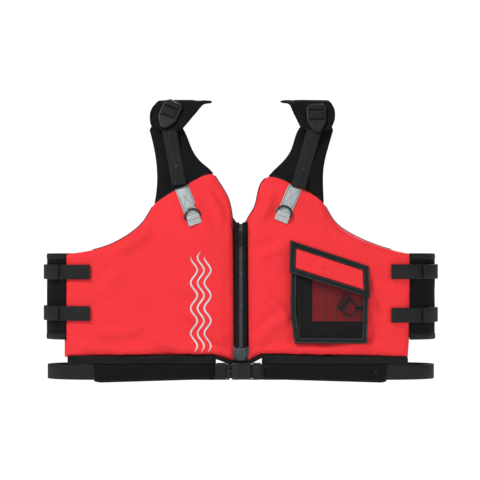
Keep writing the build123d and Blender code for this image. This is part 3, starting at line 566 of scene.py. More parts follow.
def inflate(pieces, pressure=4.0, cap=3 * MM, slack=-0.006):
    """Cloth simulation of padded pieces, together. Their seams and inner faces are held, the rest swells."""
    scene = bpy.context.scene
    scene.frame_start, scene.frame_end = 1, SIM_FRAMES
    before = {}
    for piece in pieces:
        before[piece.name] = np.array([v.co[:] for v in piece.data.vertices])
        cloth = piece.modifiers.new("cloth", "CLOTH")
        for setting, value in {**CLOTH, "uniform_pressure_force": pressure, "shrink_min": slack}.items():
            setattr(cloth.settings, setting, value)
        cloth.settings.effector_weights.gravity = 0.0
        cloth.point_cache.frame_start = 1
        cloth.point_cache.frame_end = SIM_FRAMES
    for number in range(1, SIM_FRAMES + 1):
        scene.frame_set(number)
    depsgraph = bpy.context.evaluated_depsgraph_get()
    for piece in pieces:
        start = before[piece.name]
        moved = np.array([v.co[:] for v in piece.evaluated_get(depsgraph).data.vertices]) - start
        length = np.linalg.norm(moved, axis=1, keepdims=True)
        moved *= np.minimum(1.0, cap / np.maximum(length, 1e-9))
        piece.modifiers.clear()
        piece.data.vertices.foreach_set("co", (start + moved).ravel())
        piece.data.update()
    scene.frame_set(1)


def subdivided(piece):
    smoother = piece.modifiers.new("smooth", "SUBSURF")
    smoother.levels = smoother.render_levels = 1
    return piece


def closed_grid(columns, rows, way):
    """The faces of a closed sheet: two layers of points, each given column by column, joined round their
    rims. A way of -1 turns all the faces round."""
    layer = columns * rows
    made = []
    for i in range(columns - 1):
        for j in range(rows - 1):
            a = i * rows + j
            quad = (a, a + rows, a + rows + 1, a + 1)[::way]
            made += [quad, tuple(layer + k for k in quad[::-1])]
    rim = [i * rows for i in range(columns)] + [layer - rows + j for j in range(1, rows)]
    rim += [i * rows + rows - 1 for i in range(columns - 2, -1, -1)] + list(range(rows - 2, 0, -1))
    return made + [(b, a, a + layer, b + layer)[::way] for a, b in zip(rim, rim[1:] + rim[:1])]


def tube(base, count, size, way=1):
    """The faces of a closed tube, whose rings of points follow each other from a base. A way of -1 turns all
    the faces round."""
    made = []
    for i in range(count - 1):
        for j in range(size):
            a, b = base + i * size + j, base + i * size + (j + 1) % size
            made.append((a, a + size, b + size, b) if way > 0 else (a, b, b + size, a + size))
    last = base + (count - 1) * size
    return made + [tuple(range(base, base + size))[::way], tuple(range(last, last + size))[::-way]]


def turned_outward(piece):
    """Makes all of a closed piece's faces look outward."""
    bm = bmesh.new()
    bm.from_mesh(piece.data)
    bmesh.ops.recalc_face_normals(bm, faces=bm.faces)
    bm.to_mesh(piece.data)
    bm.free()
    return piece


def softened(piece, width, segments=2, degrees=30):
    """Rounds a piece's edges that are sharper than an angle."""
    soften = piece.modifiers.new("soft_edges", "BEVEL")
    soften.width = width
    soften.segments = segments
    soften.limit_method = "ANGLE"
    soften.angle_limit = math.radians(degrees)
    return piece


# ---------------------------------------------------------------- tape, webbing and stitches


class Course:
    """A line that flat tape follows, with the directions along it, across it and out of its face. The face
    looks the way of along x across where across is given, as one direction or one for each point, and
    otherwise follows the normals."""

    def __init__(self, points, across=None, normals=None):
        self.points = [Vector(p) for p in points]
        steps = [(b - a).length for a, b in zip(self.points, self.points[1:])]
        self.lengths = [sum(steps[:i]) for i in range(len(self.points))]
        last = len(self.points) - 1
        self.along, self.across, self.out = [], [], []
        for i in range(last + 1):
            along = (self.points[min(i + 1, last)] - self.points[max(i - 1, 0)]).normalized()
            if across is not None:
                given = across[i] if isinstance(across, list) else across
                side = (given - along * along.dot(given)).normalized()
                out = along.cross(side)
            else:
                out = (normals[i] - along * along.dot(normals[i])).normalized()
                side = out.cross(along)
            self.along.append(along)
            self.across.append(side)
            self.out.append(out)

    @property
    def length(self):
        return self.lengths[-1]

    def spot(self, distance, offset=0.0, lift=0.0):
        """A point at a distance along, an offset across and a lift off it, and the normal there."""
        i = min(max(int(np.searchsorted(self.lengths, distance, side="right")) - 1, 0), len(self.points) - 2)
        share = (distance - self.lengths[i]) / max(self.lengths[i + 1] - self.lengths[i], 1e-9)
        side = self.across[i].lerp(self.across[i + 1], share)
        out = self.out[i].lerp(self.out[i + 1], share)
        return self.points[i].lerp(self.points[i + 1], share) + side * offset + out * lift, out.normalized()


def ribbon(name, course, surface, width=WEB, thickness=WEB_T):
    """Flat tape with rounded edges, whose middle follows a course."""
    half, radius = width / 2, thickness / 2
    section = []
    for side in (1, -1):
        for degrees in (-90, -45, 0, 45, 90):
            turn = math.radians(degrees)
            section.append((side * (half - radius + radius * math.cos(turn)), side * radius * math.sin(turn)))
    vertices, uvs = [], []
    for point, length, across, out in zip(course.points, course.lengths, course.across, course.out):
        vertices += [point + across * u + out * w for u, w in section]
        uvs += [(u, length) for u, _ in section]
    return new_mesh(name, vertices, tube(0, len(course.points), len(section)), surface, uvs)


def smooth_path(points, step=2.5 * MM, rounds=2):
    """A path through corner points, whose corners are cut back and whose points end up about a step apart."""
    points = [Vector(p) for p in points]
    for _ in range(rounds):
        cut = [points[0]]
        for a, b in zip(points, points[1:]):
            cut += [a.lerp(b, 0.25), a.lerp(b, 0.75)]
        points = cut + [points[-1]]
    made = [points[0]]
    for a, b in zip(points, points[1:]):
        count = max(1, round((b - a).length / step))
        made += [a.lerp(b, i / count) for i in range(1, count + 1)]
    return [p for i, p in enumerate(made) if i == 0 or (p - made[i - 1]).length > 1e-6]


def round_side(radius, side, x_front, x_back, step=5 * MM):
    """Points round one side of the jacket at a radius, from an x in front to an x behind."""
    points = []
    start = -math.pi / 2
    if x_front < SIDE_CENTRE_X:
        count = max(1, round((SIDE_CENTRE_X - x_front) / step))
        points += [(x_front + (SIDE_CENTRE_X - x_front) * i / count, -radius) for i in range(count)]
    else:
        start = -math.acos(min(1.0, (x_front - SIDE_CENTRE_X) / radius))
    end = math.pi / 2 if x_back < SIDE_CENTRE_X else math.acos(min(1.0, (x_back - SIDE_CENTRE_X) / radius))
    for turn in np.linspace(start, end, max(2, round((end - start) * radius / step))):
        points.append((SIDE_CENTRE_X + radius * math.cos(turn), radius * math.sin(turn)))
    if x_back < SIDE_CENTRE_X:
        count = max(1, round((SIDE_CENTRE_X - x_back) / step))
        points += [(SIDE_CENTRE_X - (SIDE_CENTRE_X - x_back) * i / count, radius)
                   for i in range(1, count + 1)]
    return [Vector((side * x, y, 0)) for x, y in points]


def stitches(name, runs, surface, slot, stitch=2.6 * MM, gap=1.3 * MM, thick=0.42 * MM, body="root"):
    """Rows of sewn stitches. Each run is a list of (point, normal) along the seam, on the cloth's surface."""
    vertices, faces = [], []
    for run in runs:
        if len(run) < 2:
            continue
        seam = Course([p for p, _ in run], normals=[n for _, n in run])
        start = gap / 2
        while start + stitch < seam.length:
            base = len(vertices)
            for share, height in ((0.0, -0.4), (0.25, 0.55), (0.75, 0.55), (1.0, -0.4)):
                for offset, lift in ((0.3, height), (-0.3, height), (-0.5, -0.5), (0.5, -0.5)):
                    vertices.append(seam.spot(start + share * stitch, offset * thick, lift * thick)[0])
            faces += tube(base, 4, 4, -1)
            start += stitch + gap
    place(new_mesh(name, vertices, faces, surface, smooth=False), slot, body=body)


def on_surface(tree, points, facing):
    """(point, normal) pairs where x, z points land on a tree's face. It stops where a line misses."""
    made = []
    for x, z in points:
        hit, normal, _, _ = tree.ray_cast(Vector((x, facing, z)), Vector((0, -facing, 0)))
        if hit is not None:
            made.append((hit, normal if normal.y * facing > 0 else -normal))
    return made


def straight(a, b, step=3 * MM):
    """Points from one x, z point to another."""
    a, b = np.array(a), np.array(b)
    count = max(2, round(float(np.linalg.norm(b - a)) / step))
    return [tuple(a + (b - a) * t) for t in np.linspace(0, 1, count)]


def along_tape(course, offset, start, end, lift):
    """A run of (point, normal) on a tape's face, between two distances along it."""
    count = max(2, round((end - start) / (4 * MM)))
    return [course.spot(s, offset, lift) for s in np.linspace(start, end, count)]


def box_and_cross(course, start, end, half, lift):
    """The seams of a sewn box with a cross in it, on a tape's face."""
    corners = [(start, -half), (start, half), (end, half), (end, -half)]
    lines = list(zip(corners, corners[1:] + corners[:1]))
    lines += [(corners[0], corners[2]), (corners[1], corners[3])]
    runs = []
    for (s1, u1), (s2, u2) in lines:
        shares = np.linspace(0, 1, 9)
        runs.append([course.spot(s1 + (s2 - s1) * t, u1 + (u2 - u1) * t, lift) for t in shares])
    return runs


def finish(node, surface, bevel):
    """A CAD node that stays: a better material and softened edges."""
    item = nodes[node]
    item.data.materials.clear()
    item.data.materials.append(surface)
    weld = item.modifiers.new("weld", "WELD")
    weld.merge_threshold = 0.002 * MM
    softened(item, bevel, degrees=35)


# ---------------------------------------------------------------- panels, shoulders and sleeves


PANELS = {"right_front": FRONT, "left_front": FRONT, "back": BACK}  # which way each one faces


def outline_of(node, facing):
    return outlines(node, facing)[0]


def shoulder_node(side, facing):
    return f"{side}_{'front' if facing == FRONT else 'back'}_shoulder"


def panel_under(side, facing):
    """The outline of the panel that a shoulder is sewn to."""
    return panel_outlines["back" if facing == BACK else f"{side}_front"]


panel_outlines = {name: outline_of(f"{name}_cover", facing) for name, facing in PANELS.items()}
shoulder_outlines = {(side, facing): outline_of(shoulder_node(side, facing), facing)
                     for side in SIDES for facing in (FRONT, BACK)}

# Where each panel's cloth is drawn into soft folds
CREASES = {
    "right_front": [
        (-22, 64, -95, 128, 2.6, 9), (-20, 52, -150, 72, 2.2, 8), (-120, 60, -290, 66, 2.0, 7),
        (-160, 96, -240, 84, 1.6, 9), (-60, 330, -30, 262, 1.8, 8), (-84, 318, -52, 240, 1.3, 12),
        (-246, 150, -196, 186, 1.2, 13), (-150, 268, -214, 222, 1.5, 11), (-40, 150, -120, 176, 1.1, 15),
    ],
    "left_front": [
        (20, 62, 84, 118, 2.6, 9), (24, 50, 160, 58, 2.0, 7), (120, 54, 276, 60, 1.8, 7),
        (26, 208, 78, 232, 2.0, 9), (34, 150, 80, 108, 1.7, 8), (52, 330, 30, 268, 1.8, 8),
        (150, 262, 214, 226, 1.5, 11), (226, 76, 270, 90, 1.3, 9), (222, 142, 240, 176, 1.0, 10),
    ],
    "back": [
        (-250, 66, -60, 76, 1.8, 9), (70, 70, 260, 84, 1.8, 9), (-60, 240, 40, 214, 1.5, 14),
        (-190, 232, -120, 190, 1.6, 12), (196, 228, 120, 186, 1.6, 12), (-40, 120, 90, 134, 1.2, 16),
    ],
}

soft = {}
for seed, (name, loop) in enumerate(panel_outlines.items()):
    facing = PANELS[name]
    sewn_to = [loop_of for (side, face), loop_of in shoulder_outlines.items() if face == facing]
    strap_x = 176 if name == "back" else 244
    soft[name] = pillow(f"{name}_panel", loop, tree_of(f"{name}_cover"), tree_of(f"{name}_lining"), facing,
                        [red_cloth, lining_cloth], sewn_to=sewn_to, seed=10 * seed + 3, drawn_in=1.8 * MM,
                        creases=CREASES[name], flat_zones=[(strap_x, 320, 98, 134), (strap_x, 320, 173, 205)])
for seed, ((side, facing), loop) in enumerate(shoulder_outlines.items()):
    node = shoulder_node(side, facing)
    tree = tree_of(node)
    soft[node] = pillow(f"{node}_pad", loop, tree, tree, facing, [black_cloth, lining_cloth],
                        seed=10 * seed + 5, sewn_to=[panel_under(side, facing)], drawn_in=1.2 * MM,
                        step=4 * MM)
for side in SIDES:
    node = f"{side}_belt_sleeve"
    tree = tree_of(node)
    soft[node] = pillow(f"{side}_waist_sleeve", outline_of(node, FRONT), tree, tree, FRONT, [black_cloth],
                        seed=60, rim=5 * MM, seam=0.5, step=4 * MM, folds=0.2 * MM, puckers=0.4 * MM)


def soft_copy(node, name, surface):
    """A CAD node's shape as an even net of small faces with its edges softened, ready to swell."""
    copy = bpy.data.objects.new(name, nodes[node].data.copy())
    bpy.context.collection.objects.link(copy)
    net = copy.modifiers.new("net", "REMESH")
    net.mode = "VOXEL"
    net.voxel_size = 2.6 * MM
    relaxed = copy.modifiers.new("relaxed", "SMOOTH")
    relaxed.factor = 0.5
    relaxed.iterations = 4
    depsgraph = bpy.context.evaluated_depsgraph_get()
    mesh = bpy.data.meshes.new_from_object(copy.evaluated_get(depsgraph))
    copy.modifiers.clear()
    copy.data = mesh
    mesh.materials.clear()
    mesh.materials.append(surface)
    mesh.polygons.foreach_set("use_smooth", [True] * len(mesh.polygons))
    return copy


# A pad's inner face lies on the shoulder and is held, and its outer face swells
PAD_R = 26 * MM  # the outer face of a pad where it folds over the shoulder
PAD_DRAWN = {"right": 12 * MM, "left": 5 * MM}  # how far the outer corner of each pad's fold is drawn in
fold_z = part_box("right_pad")[1].z - PAD_R
for side in SIDES:
    node = f"{side}_pad"
    soft[node] = soft_copy(node, f"{side}_shoulder_pad", pad_cloth)
    for vertex in soft[node].data.vertices:
        top = min(1.0, max(0.0, (vertex.co.z - 460 * MM) / (24 * MM)))
        outer = min(1.0, max(0.0, (abs(vertex.co.x) - 108 * MM) / (40 * MM)))
        vertex.co.x -= SIDES[side] * PAD_DRAWN[side] * top * top * outer
    inner = []
    for vertex in soft[node].data.vertices:
        outward = Vector((0, vertex.co.y, max(vertex.co.z - fold_z, 0) + 4 * MM)).normalized()
        if vertex.normal.dot(outward) < 0.5:
            inner.append(vertex.index)
    soft[node].vertex_groups.new(name="held").add(inner, 1.0, "REPLACE")

inflate([piece for name, piece in soft.items() if not name.endswith("_pad")])
inflate([soft["right_pad"], soft["left_pad"]], pressure=3.0, cap=1.6 * MM, slack=-0.01)

for name in panel_outlines:
    place(soft[name], "red_cloth", f"{name}_cover", f"{name}_foam", f"{name}_lining")
for name, piece in soft.items():
    if name not in panel_outlines:
        place(piece, "black_cloth", name)
    subdivided(piece)

faces = {
    "right": tree_of(soft["right_front"], soft["right_front_shoulder"]),
    "left": tree_of(soft["left_front"], soft["left_front_shoulder"]),
    "back": tree_of(soft["back"], soft["right_back_shoulder"], soft["left_back_shoulder"]),
}

# A thin dark edging shows along the armholes and the neck, and a tape closes each shoulder seam from inside
AT_SEAM = 1.5 * MM  # how near a shoulder's outline a point of its seam is
ARMHOLE_Z, NECK_Z, NECK_X = 226 * MM, 252 * MM, 60 * MM  # the edging ends here beside the arms and at the neck
for name, loop in panel_outlines.items():
    facing = PANELS[name]
    ring = len(evenly(loop, STEP))
    edge = [v.co.copy() for v in soft[name].data.vertices[:ring]]
    shoulders = {side: other for (side, face), other in shoulder_outlines.items()
                 if face == facing and (face == BACK or side in name)}
    spots = np.array([(p.x, p.z) for p in edge])
    free = np.min([edge_distance(spots, shoulder) for shoulder in shoulders.values()], axis=0) > AT_SEAM
    runs, run = [], []
    for i in range(2 * ring):
        p = edge[i % ring]
        if free[i % ring] and p.z > (ARMHOLE_Z if abs(p.x) > NECK_X else NECK_Z):
            run.append(p)
        else:
            if len(run) > 6:
                runs.append(run)
            run = []
    for number, run in enumerate(runs[:3 if name == "back" else 2]):
        course = Course(run, normals=[Y * facing] * len(run))
        place(ribbon(f"{name}_edging_{number + 1}", course, binding_tape, 2.2 * MM, 2.2 * MM), "binding")
    cover, lining = tree_of(f"{name}_cover"), tree_of(f"{name}_lining")
    for side, shoulder in shoulders.items():
        seam = [p for p, gap in zip(spots, edge_distance(spots, shoulder)) if gap < AT_SEAM]
        seam = sorted(seam, key=lambda p: p[0])[2:-2]
        inside = [Vector((x, faces_at((x, z), cover, lining, facing)[0] - facing * 3.8 * MM, z))
                  for x, z in seam]
        course = Course(inside, normals=[Y * facing] * len(inside))
        place(ribbon(f"{name}_{side}_yoke_tape", course, lining_cloth, 7 * MM, 3 * MM), "lining")

# ---------------------------------------------------------------- hem bindings, and the guard behind the zip

TUCK = 3.5 * MM  # how far a hem's binding reaches up over the edge of its panel
HANG = 2.5 * MM  # and down to the belt


def tucked(hem):
    """A hem's binding, stretched upwards over the edge of its panel."""
    heights = [v.co.z for v in hem.data.vertices]
    low, high = min(heights), max(heights)
    for vertex in hem.data.vertices:
        vertex.co.z += (TUCK + HANG) * min(1.0, (vertex.co.z - low) / (0.7 * (high - low))) - HANG
    return subdivided(hem)


def hem_pillow(name, node, loop, facing, seed):
    """A hem's binding, as a thin pillow within its own CAD node."""
    tree = tree_of(node)
    return tucked(pillow(name, loop, tree, tree, facing, [hem_tape], rim=4 * MM, seam=0.5, step=4 * MM,
                         folds=0.2 * MM, puckers=0.5 * MM, seed=seed, rings=(0.6 * MM, 2.0 * MM)))


for index, side in enumerate(SIDES):
    loops = outlines("front_hem_bindings", FRONT)
    loop = next(loop for loop in loops if loop[:, 0].mean() * SIDES[side] > 0)
    hem = hem_pillow(f"{side}_hem_binding", "front_hem_bindings", loop, FRONT, 80 + index)
    place(hem, "binding", *(["front_hem_bindings"] if index == 0 else []))
# The slanting edges of the corners beside the zip are bound too
for side, (start, end) in (("right", ((-50, 46), (-8.5, 30.6))), ("left", ((38, 46.5), (8, 30.6)))):
    corner = straight(np.array(start) * MM, np.array(end) * MM)
    course = Course([Vector((x, -FACE_R + 7.5 * MM, z + 0.4 * MM)) for x, z in corner], across=Y)
    place(ribbon(f"{side}_corner_binding", course, hem_tape, 12 * MM, 6.5 * MM), "binding")
hem = hem_pillow("back_hem_tape", "back_hem_binding", outline_of("back_hem_binding", BACK), BACK, 85)
place(hem, "binding", "back_hem_binding")
tree = tree_of("zip_guard")
guard = pillow("zip_draught_guard", outline_of("zip_guard", FRONT), tree, tree, FRONT, [lining_cloth], seed=88,
               rim=1.5 * MM, seam=0.5, step=4 * MM, folds=0.3 * MM, puckers=0.2 * MM, rings=(0.6 * MM,))
place(subdivided(guard), "lining", "zip_guard")
tail_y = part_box("zip_guard")[0].y + 1.5 * MM
tail = [Vector((x * MM, tail_y, z * MM)) for x, z in ((0, 70), (0, 60), (-0.3, 50), (-0.6, 40), (-0.8, 26))]
tail_course = Course(smooth_path(tail, step=3 * MM), across=X)
place(ribbon("zip_guard_tail", tail_course, lining_cloth, 24 * MM, 1.6 * MM), "lining")

# ---------------------------------------------------------------- side panels and their bindings

EDGE_TAPE = 11 * MM
side_low, side_high = (corner.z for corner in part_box("left_side_panel"))
NEOPRENE = 4 * MM


def side_sheet(side_name, x_front, x_back):
    """The neoprene round one side, a closed sheet with gentle waves in it."""
    side = SIDES[side_name]
    inside = round_side(FACE_R - NEOPRENE, side, x_front, x_back)
    course = Course(inside, across=Z * side)
    rows = np.linspace(side_low, side_high, 25)
    vertices, uvs = [], []
    flat = np.array([(length, z) for length in course.lengths for z in rows])
    wave = (hills(flat, 30 + side, 70 * MM) - 1.2) * 0.7 * MM
    columns = len(course.points)
    for lift in (NEOPRENE, 0.0):
        for i, (point, out) in enumerate(zip(course.points, course.out)):
            for j, z in enumerate(rows):
                rise = wave[i * len(rows) + j]
                vertices.append(Vector((point.x, point.y, z)) + out * (lift + rise))
                uvs.append((course.lengths[i], z))
    faces = closed_grid(columns, len(rows), side)
    made = new_mesh(f"{side_name}_side_neoprene", vertices, faces, [neoprene], uvs)
    return made, course, wave.reshape(columns, len(rows))


side_stitches = []
for side_name, side in SIDES.items():
    panel_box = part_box(f"{side_name}_front_cover")
    x_front = (panel_box[1].x if side > 0 else -panel_box[0].x) - 4 * MM
    x_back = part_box("back_cover")[1].x - 4 * MM
    sheet, course, wave = side_sheet(side_name, x_front, x_back)
    place(sheet, "neoprene", f"{side_name}_side_panel")
    for level, sheet_edge, inward, row in (("lower", side_low, 1, 1), ("upper", side_high, -1, -2)):
        middle = sheet_edge + inward * EDGE_TAPE / 2
        points = [Vector((p.x, p.y, middle)) + out * (NEOPRENE / 2 + wave[i, row])
                  for i, (p, out) in enumerate(zip(course.points, course.out))]
        tape_course = Course(points, across=Z * side)
        tape = ribbon(f"{side_name}_side_{level}_binding", tape_course, binding_tape, EDGE_TAPE,
                      NEOPRENE + 1.6 * MM)
        place(tape, "binding")
        offset = inward * (EDGE_TAPE / 2 - 1.6 * MM)
        side_stitches.append(along_tape(tape_course, offset, 0, tape_course.length, NEOPRENE / 2 + 0.8 * MM))
stitches("side_binding_stitches", side_stitches, black_thread, "binding")

# ---------------------------------------------------------------- side straps, their locks and loops

HEM_FOLD = 13 * MM  # the length of a strap's end that is folded under
STRAP_BAR_X = 250 * MM  # the bar of a side lock that a strap goes over
LOOP_BAR = (222 * MM, 227.5 * MM)  # and the edges of the bar that its loop goes over
strap_seams, patch_seams = [], []
lock_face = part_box("side_ladder_locks")[1].y
for name in STRAPS:
    side_name = name.split("_")[0]
    side = SIDES[side_name]
    low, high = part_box(f"{name}_strap")
    z = (low.z + high.z) / 2
    inner = round_side(FACE_R + 0.5 * MM + WEB_T / 2, side, 256 * MM, 251 * MM)
    outer = round_side(FACE_R + 2.9 * MM + WEB_T / 2, side, 312 * MM, 253 * MM)[::-1]
    over = [Vector((side * (STRAP_BAR_X - x * MM), lock_face + y * MM, 0))
            for x, y in ((1, 0.7), (5, 1.0), (8, -1.0), (7, 1.4), (4, 3.0), (0, 2.6))]
    end = outer[-1]
    tangent = (outer[-1] - outer[-2]).normalized()
    outward = Vector((end.x - side * SIDE_CENTRE_X, end.y, 0)).normalized()
    fold = [end + tangent * 1.2 * MM + outward * 0.9 * MM, end + outward * 1.9 * MM,
            end - tangent * HEM_FOLD + outward * 1.9 * MM]
    path = smooth_path([p + Z * z for p in inner[:-1]], rounds=1)
    path += smooth_path([p + Z * z for p in [inner[-1], *over, *outer, *fold]])
    course = Course(path, across=Z * side)
    place(ribbon(f"{name}_webbing", course, webbing), "webbing", f"{name}_strap")
    patch_seams += box_and_cross(course, 2.5 * MM, 22 * MM, WEB / 2 - 2.5 * MM, WEB_T / 2)
    for half in (-1, 1):
        strap_seams.append([course.spot(course.length - HEM_FOLD + 2 * MM, half * share * (WEB / 2 - 3 * MM),
                                        -WEB_T / 2) for share in (1, 0)])

    bar_in, bar_out = LOOP_BAR
    loop_points = [(184.5 * MM, FACE_R + 1.2 * MM), (bar_in - 3 * MM, FACE_R + 1.2 * MM),
                   (bar_in, lock_face + 0.9 * MM), (bar_out, lock_face + 1.0 * MM),
                   (bar_out + 2.6 * MM, lock_face - 0.6 * MM), (bar_out + 2.6 * MM, lock_face - 2.6 * MM)]
    anchor = Course(smooth_path([(side * x, y, z) for x, y in loop_points]), across=-Z * side)
    lock_loop = ribbon(f"{name}_lock_loop", anchor, webbing)
    place(lock_loop, "webbing", *(["side_lock_loops"] if name == STRAPS[0] else []))
    patch_seams += box_and_cross(anchor, 2.5 * MM, 26 * MM, WEB / 2 - 2.5 * MM, WEB_T / 2)
stitches("strap_box_stitches", patch_seams, strap_thread, "webbing")
stitches("strap_end_stitches", strap_seams, strap_thread, "webbing")

# ---------------------------------------------------------------- waist belt, its loops and its buckle

belt_low, belt_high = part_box("waist_belt")
BELT_R = belt_high.x - SIDE_CENTRE_X - WEB_T / 2
belt_z = (belt_low.z + belt_high.z) / 2
male_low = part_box("male_buckle")[0]
female_low, female_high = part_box("female_buckle")
FRAME_T = 5 * MM  # the thickness of the frames that the webbing goes through
SLEEVE_X = (62 * MM, 222 * MM)  # where the belt runs inside its sleeves, and how far in from its own line
SLEEVE_IN = 3 * MM
buckle_y = (female_low.y + female_high.y) / 2
buckle_z = (female_low.z + female_high.z) / 2
frame_back, frame_face = buckle_y + FRAME_T / 2, buckle_y - FRAME_T / 2
MALE_SLOT_X, FEMALE_SLOT_X = -25.0 * MM, 20.7 * MM  # where the webbing goes through each half

left_round = round_side(BELT_R, 1, 52 * MM, 0)
right_round = round_side(BELT_R, -1, 60 * MM, 0)[::-1]
female_start = [(FEMALE_SLOT_X, frame_face - WEB_T / 2), (FEMALE_SLOT_X + 1.4 * MM, frame_back + WEB_T / 2),
                (female_high.x - 6 * MM, frame_back + WEB_T / 2),
                (female_high.x + 4 * MM, -BELT_R - 1.0 * MM)]
belt_points = [Vector((x, y, 0)) for x, y in female_start] + left_round + right_round[1:]
belt_points.append(Vector((male_low.x - 3 * MM, -BELT_R, 0)))
# Between its two loops on the back the belt hangs slack
BELT_SAG, LOOP_X = 4 * MM, 116 * MM
for point in belt_points[:3]:
    point.z = buckle_z - belt_z
for point in belt_points:
    if point.y < 0 and SLEEVE_X[0] < abs(point.x) < SLEEVE_X[1]:
        point.y += SLEEVE_IN
    if point.y > 0 and abs(point.x) < LOOP_X:
        point.z = -BELT_SAG * (1 - (point.x / LOOP_X) ** 2)
belt_course = Course(smooth_path([p + Z * belt_z for p in belt_points]), across=Z)
place(ribbon("belt_webbing", belt_course, webbing), "webbing", "waist_belt")

male_points = [(x * MM, -BELT_R, belt_z) for x in (-60, -44, -41)]
male_points += [(-36 * MM, frame_back + WEB_T / 2, buckle_z),
                (MALE_SLOT_X - 1.2 * MM, frame_back + WEB_T / 2, buckle_z),
                (MALE_SLOT_X, frame_face - WEB_T / 2, buckle_z)]
male_course = Course(smooth_path(male_points, step=1.5 * MM), across=Z)
male_webbing = ribbon("belt_webbing_to_buckle", male_course, webbing)
place(male_webbing, "webbing", "male_buckle_webbing", body=None)
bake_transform(male_webbing)


def wrap(name, slot_x, end_x, body, towards):
    """Webbing over the front of one half of the buckle, from its slot round the far edge of its frame."""
    over_front, over_end = frame_face - WEB_T * 0.6, end_x + towards * WEB_T / 2
    points = [(slot_x, frame_back + 0.2 * MM), (slot_x - towards * 0.2 * MM, frame_face - WEB_T / 2),
              (slot_x + towards * 4 * MM, over_front), (end_x - towards * 1 * MM, over_front),
              (over_end, frame_face + 1.0 * MM), (over_end, frame_back - 1 * MM),
              (end_x - towards * 3 * MM, frame_back + WEB_T / 2)]
    course = Course(smooth_path([(x, y, buckle_z) for x, y in points], step=1.5 * MM), across=-Z * towards)
    place(ribbon(name, course, webbing), "webbing", body=body)


wrap("male_buckle_wrap", MALE_SLOT_X, male_low.x, "male_buckle", -1)
wrap("female_buckle_wrap", FEMALE_SLOT_X, female_high.x, "root", 1)

loop_low, loop_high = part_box("back_belt_loops")
loop_x = loop_high.x - WEB / 2
top, bottom = loop_high.z + 4 * MM, loop_low.z + 1 * MM
inner_y, outer_y = BELT_R - WEB_T - 0.3 * MM, BELT_R + WEB_T + 0.3 * MM
for side_name, side in SIDES.items():
    points = [(inner_y, top), (inner_y, bottom), (outer_y, bottom), (outer_y, top)]
    course = Course(smooth_path([(side * loop_x, y, z) for y, z in points]), across=X)
    loop = ribbon(f"{side_name}_back_belt_loop", course, webbing)
    place(loop, "webbing", *(["back_belt_loops"] if side_name == "right" else []))

# ---------------------------------------------------------------- reflective tapes and D-rings


def main_normal(node):
    """The direction that the largest front-facing face of a CAD node looks."""
    fronts = [p for p in nodes[node].data.polygons if p.normal.y < -0.4]
    return max(fronts, key=lambda p: p.area).normal.copy()


def strip_ends(node):
    """The middle of the upper and of the lower end of a straight strip, seen from the front."""
    loop = outline_of(node, FRONT)
    corners = loop[np.abs(turns(loop)) > SHARP]
    corners = corners[np.argsort(corners[:, 1])]
    return corners[-2:].mean(axis=0), corners[:2].mean(axis=0)


def front_lift(course, thickness):
    """The lift that reaches the face of a tape that looks to the front, halfway along it."""
    return thickness / 2 * (-1 if course.out[len(course.out) // 2].y > 0 else 1)


tape_seams = []
for side_name in SIDES:
    joint = joints[f"{side_name}_d_ring_swing"]
    bar, across = Vector(joint["pos_m"]), Vector(joint["axis"])
    node = f"{side_name}_reflective_tape"
    top, bottom = strip_ends(node)
    out = main_normal(node)
    face = on_surface(faces[side_name], straight(top, bottom), FRONT)
    down = (face[-1][0] - face[0][0]).normalized()
    out = (out - down * out.dot(down)).normalized()
    base = Course([point + out * (TAPE_T / 2 + 0.25 * MM) for point, _ in face], normals=[out] * len(face))
    tape = ribbon(f"{side_name}_silver_tape", base, reflective, 24 * MM, TAPE_T)
    foot = base.points[-1]
    foot = foot - across * (foot - bar).dot(across)
    hold = 2.0 * MM + TAPE_T / 2  # from the middle of the bar to the middle of the tape round it
    loop_points = [bar + down * 4 * MM - out * hold * 0.9, bar - out * hold * 0.4 - down * hold * 0.9,
                   bar - down * hold + out * hold * 0.3, bar - down * hold * 0.4 + out * hold,
                   bar + out * hold + down * 1 * MM, bar + down * 6 * MM + out * hold * 0.7,
                   foot + out * TAPE_T * 1.5 - down * 0.4 * MM, foot + out * TAPE_T * 0.5 + down * 0.9 * MM,
                   foot + out * TAPE_T * 0.2]
    loop_course = Course(smooth_path(loop_points, step=1.2 * MM), across=across)
    loop = ribbon(f"{side_name}_silver_loop", loop_course, reflective, 22 * MM, TAPE_T)
    place(tape, "reflective", node)
    place(loop, "reflective")
    half, lift = 12 * MM - 1.8 * MM, TAPE_T / 2
    bar_at = base.length - (foot - bar).length
    for edge in (-half, half):
        tape_seams.append(along_tape(base, edge, 1.5 * MM, bar_at - 4 * MM, lift))
    tape_seams += box_and_cross(base, 2 * MM, 40 * MM, half - 0.6 * MM, lift)
    tape_seams.append([loop_course.spot(loop_course.length * 0.62, u * MM, front_lift(loop_course, TAPE_T))
                       for u in np.linspace(-10, 10, 9)])
stitches("silver_tape_stitches", tape_seams, dark_thread, "reflective", stitch=2.4 * MM, gap=0.9 * MM,
         thick=0.85 * MM)

# ---------------------------------------------------------------- shoulder webbing and ladder-locks

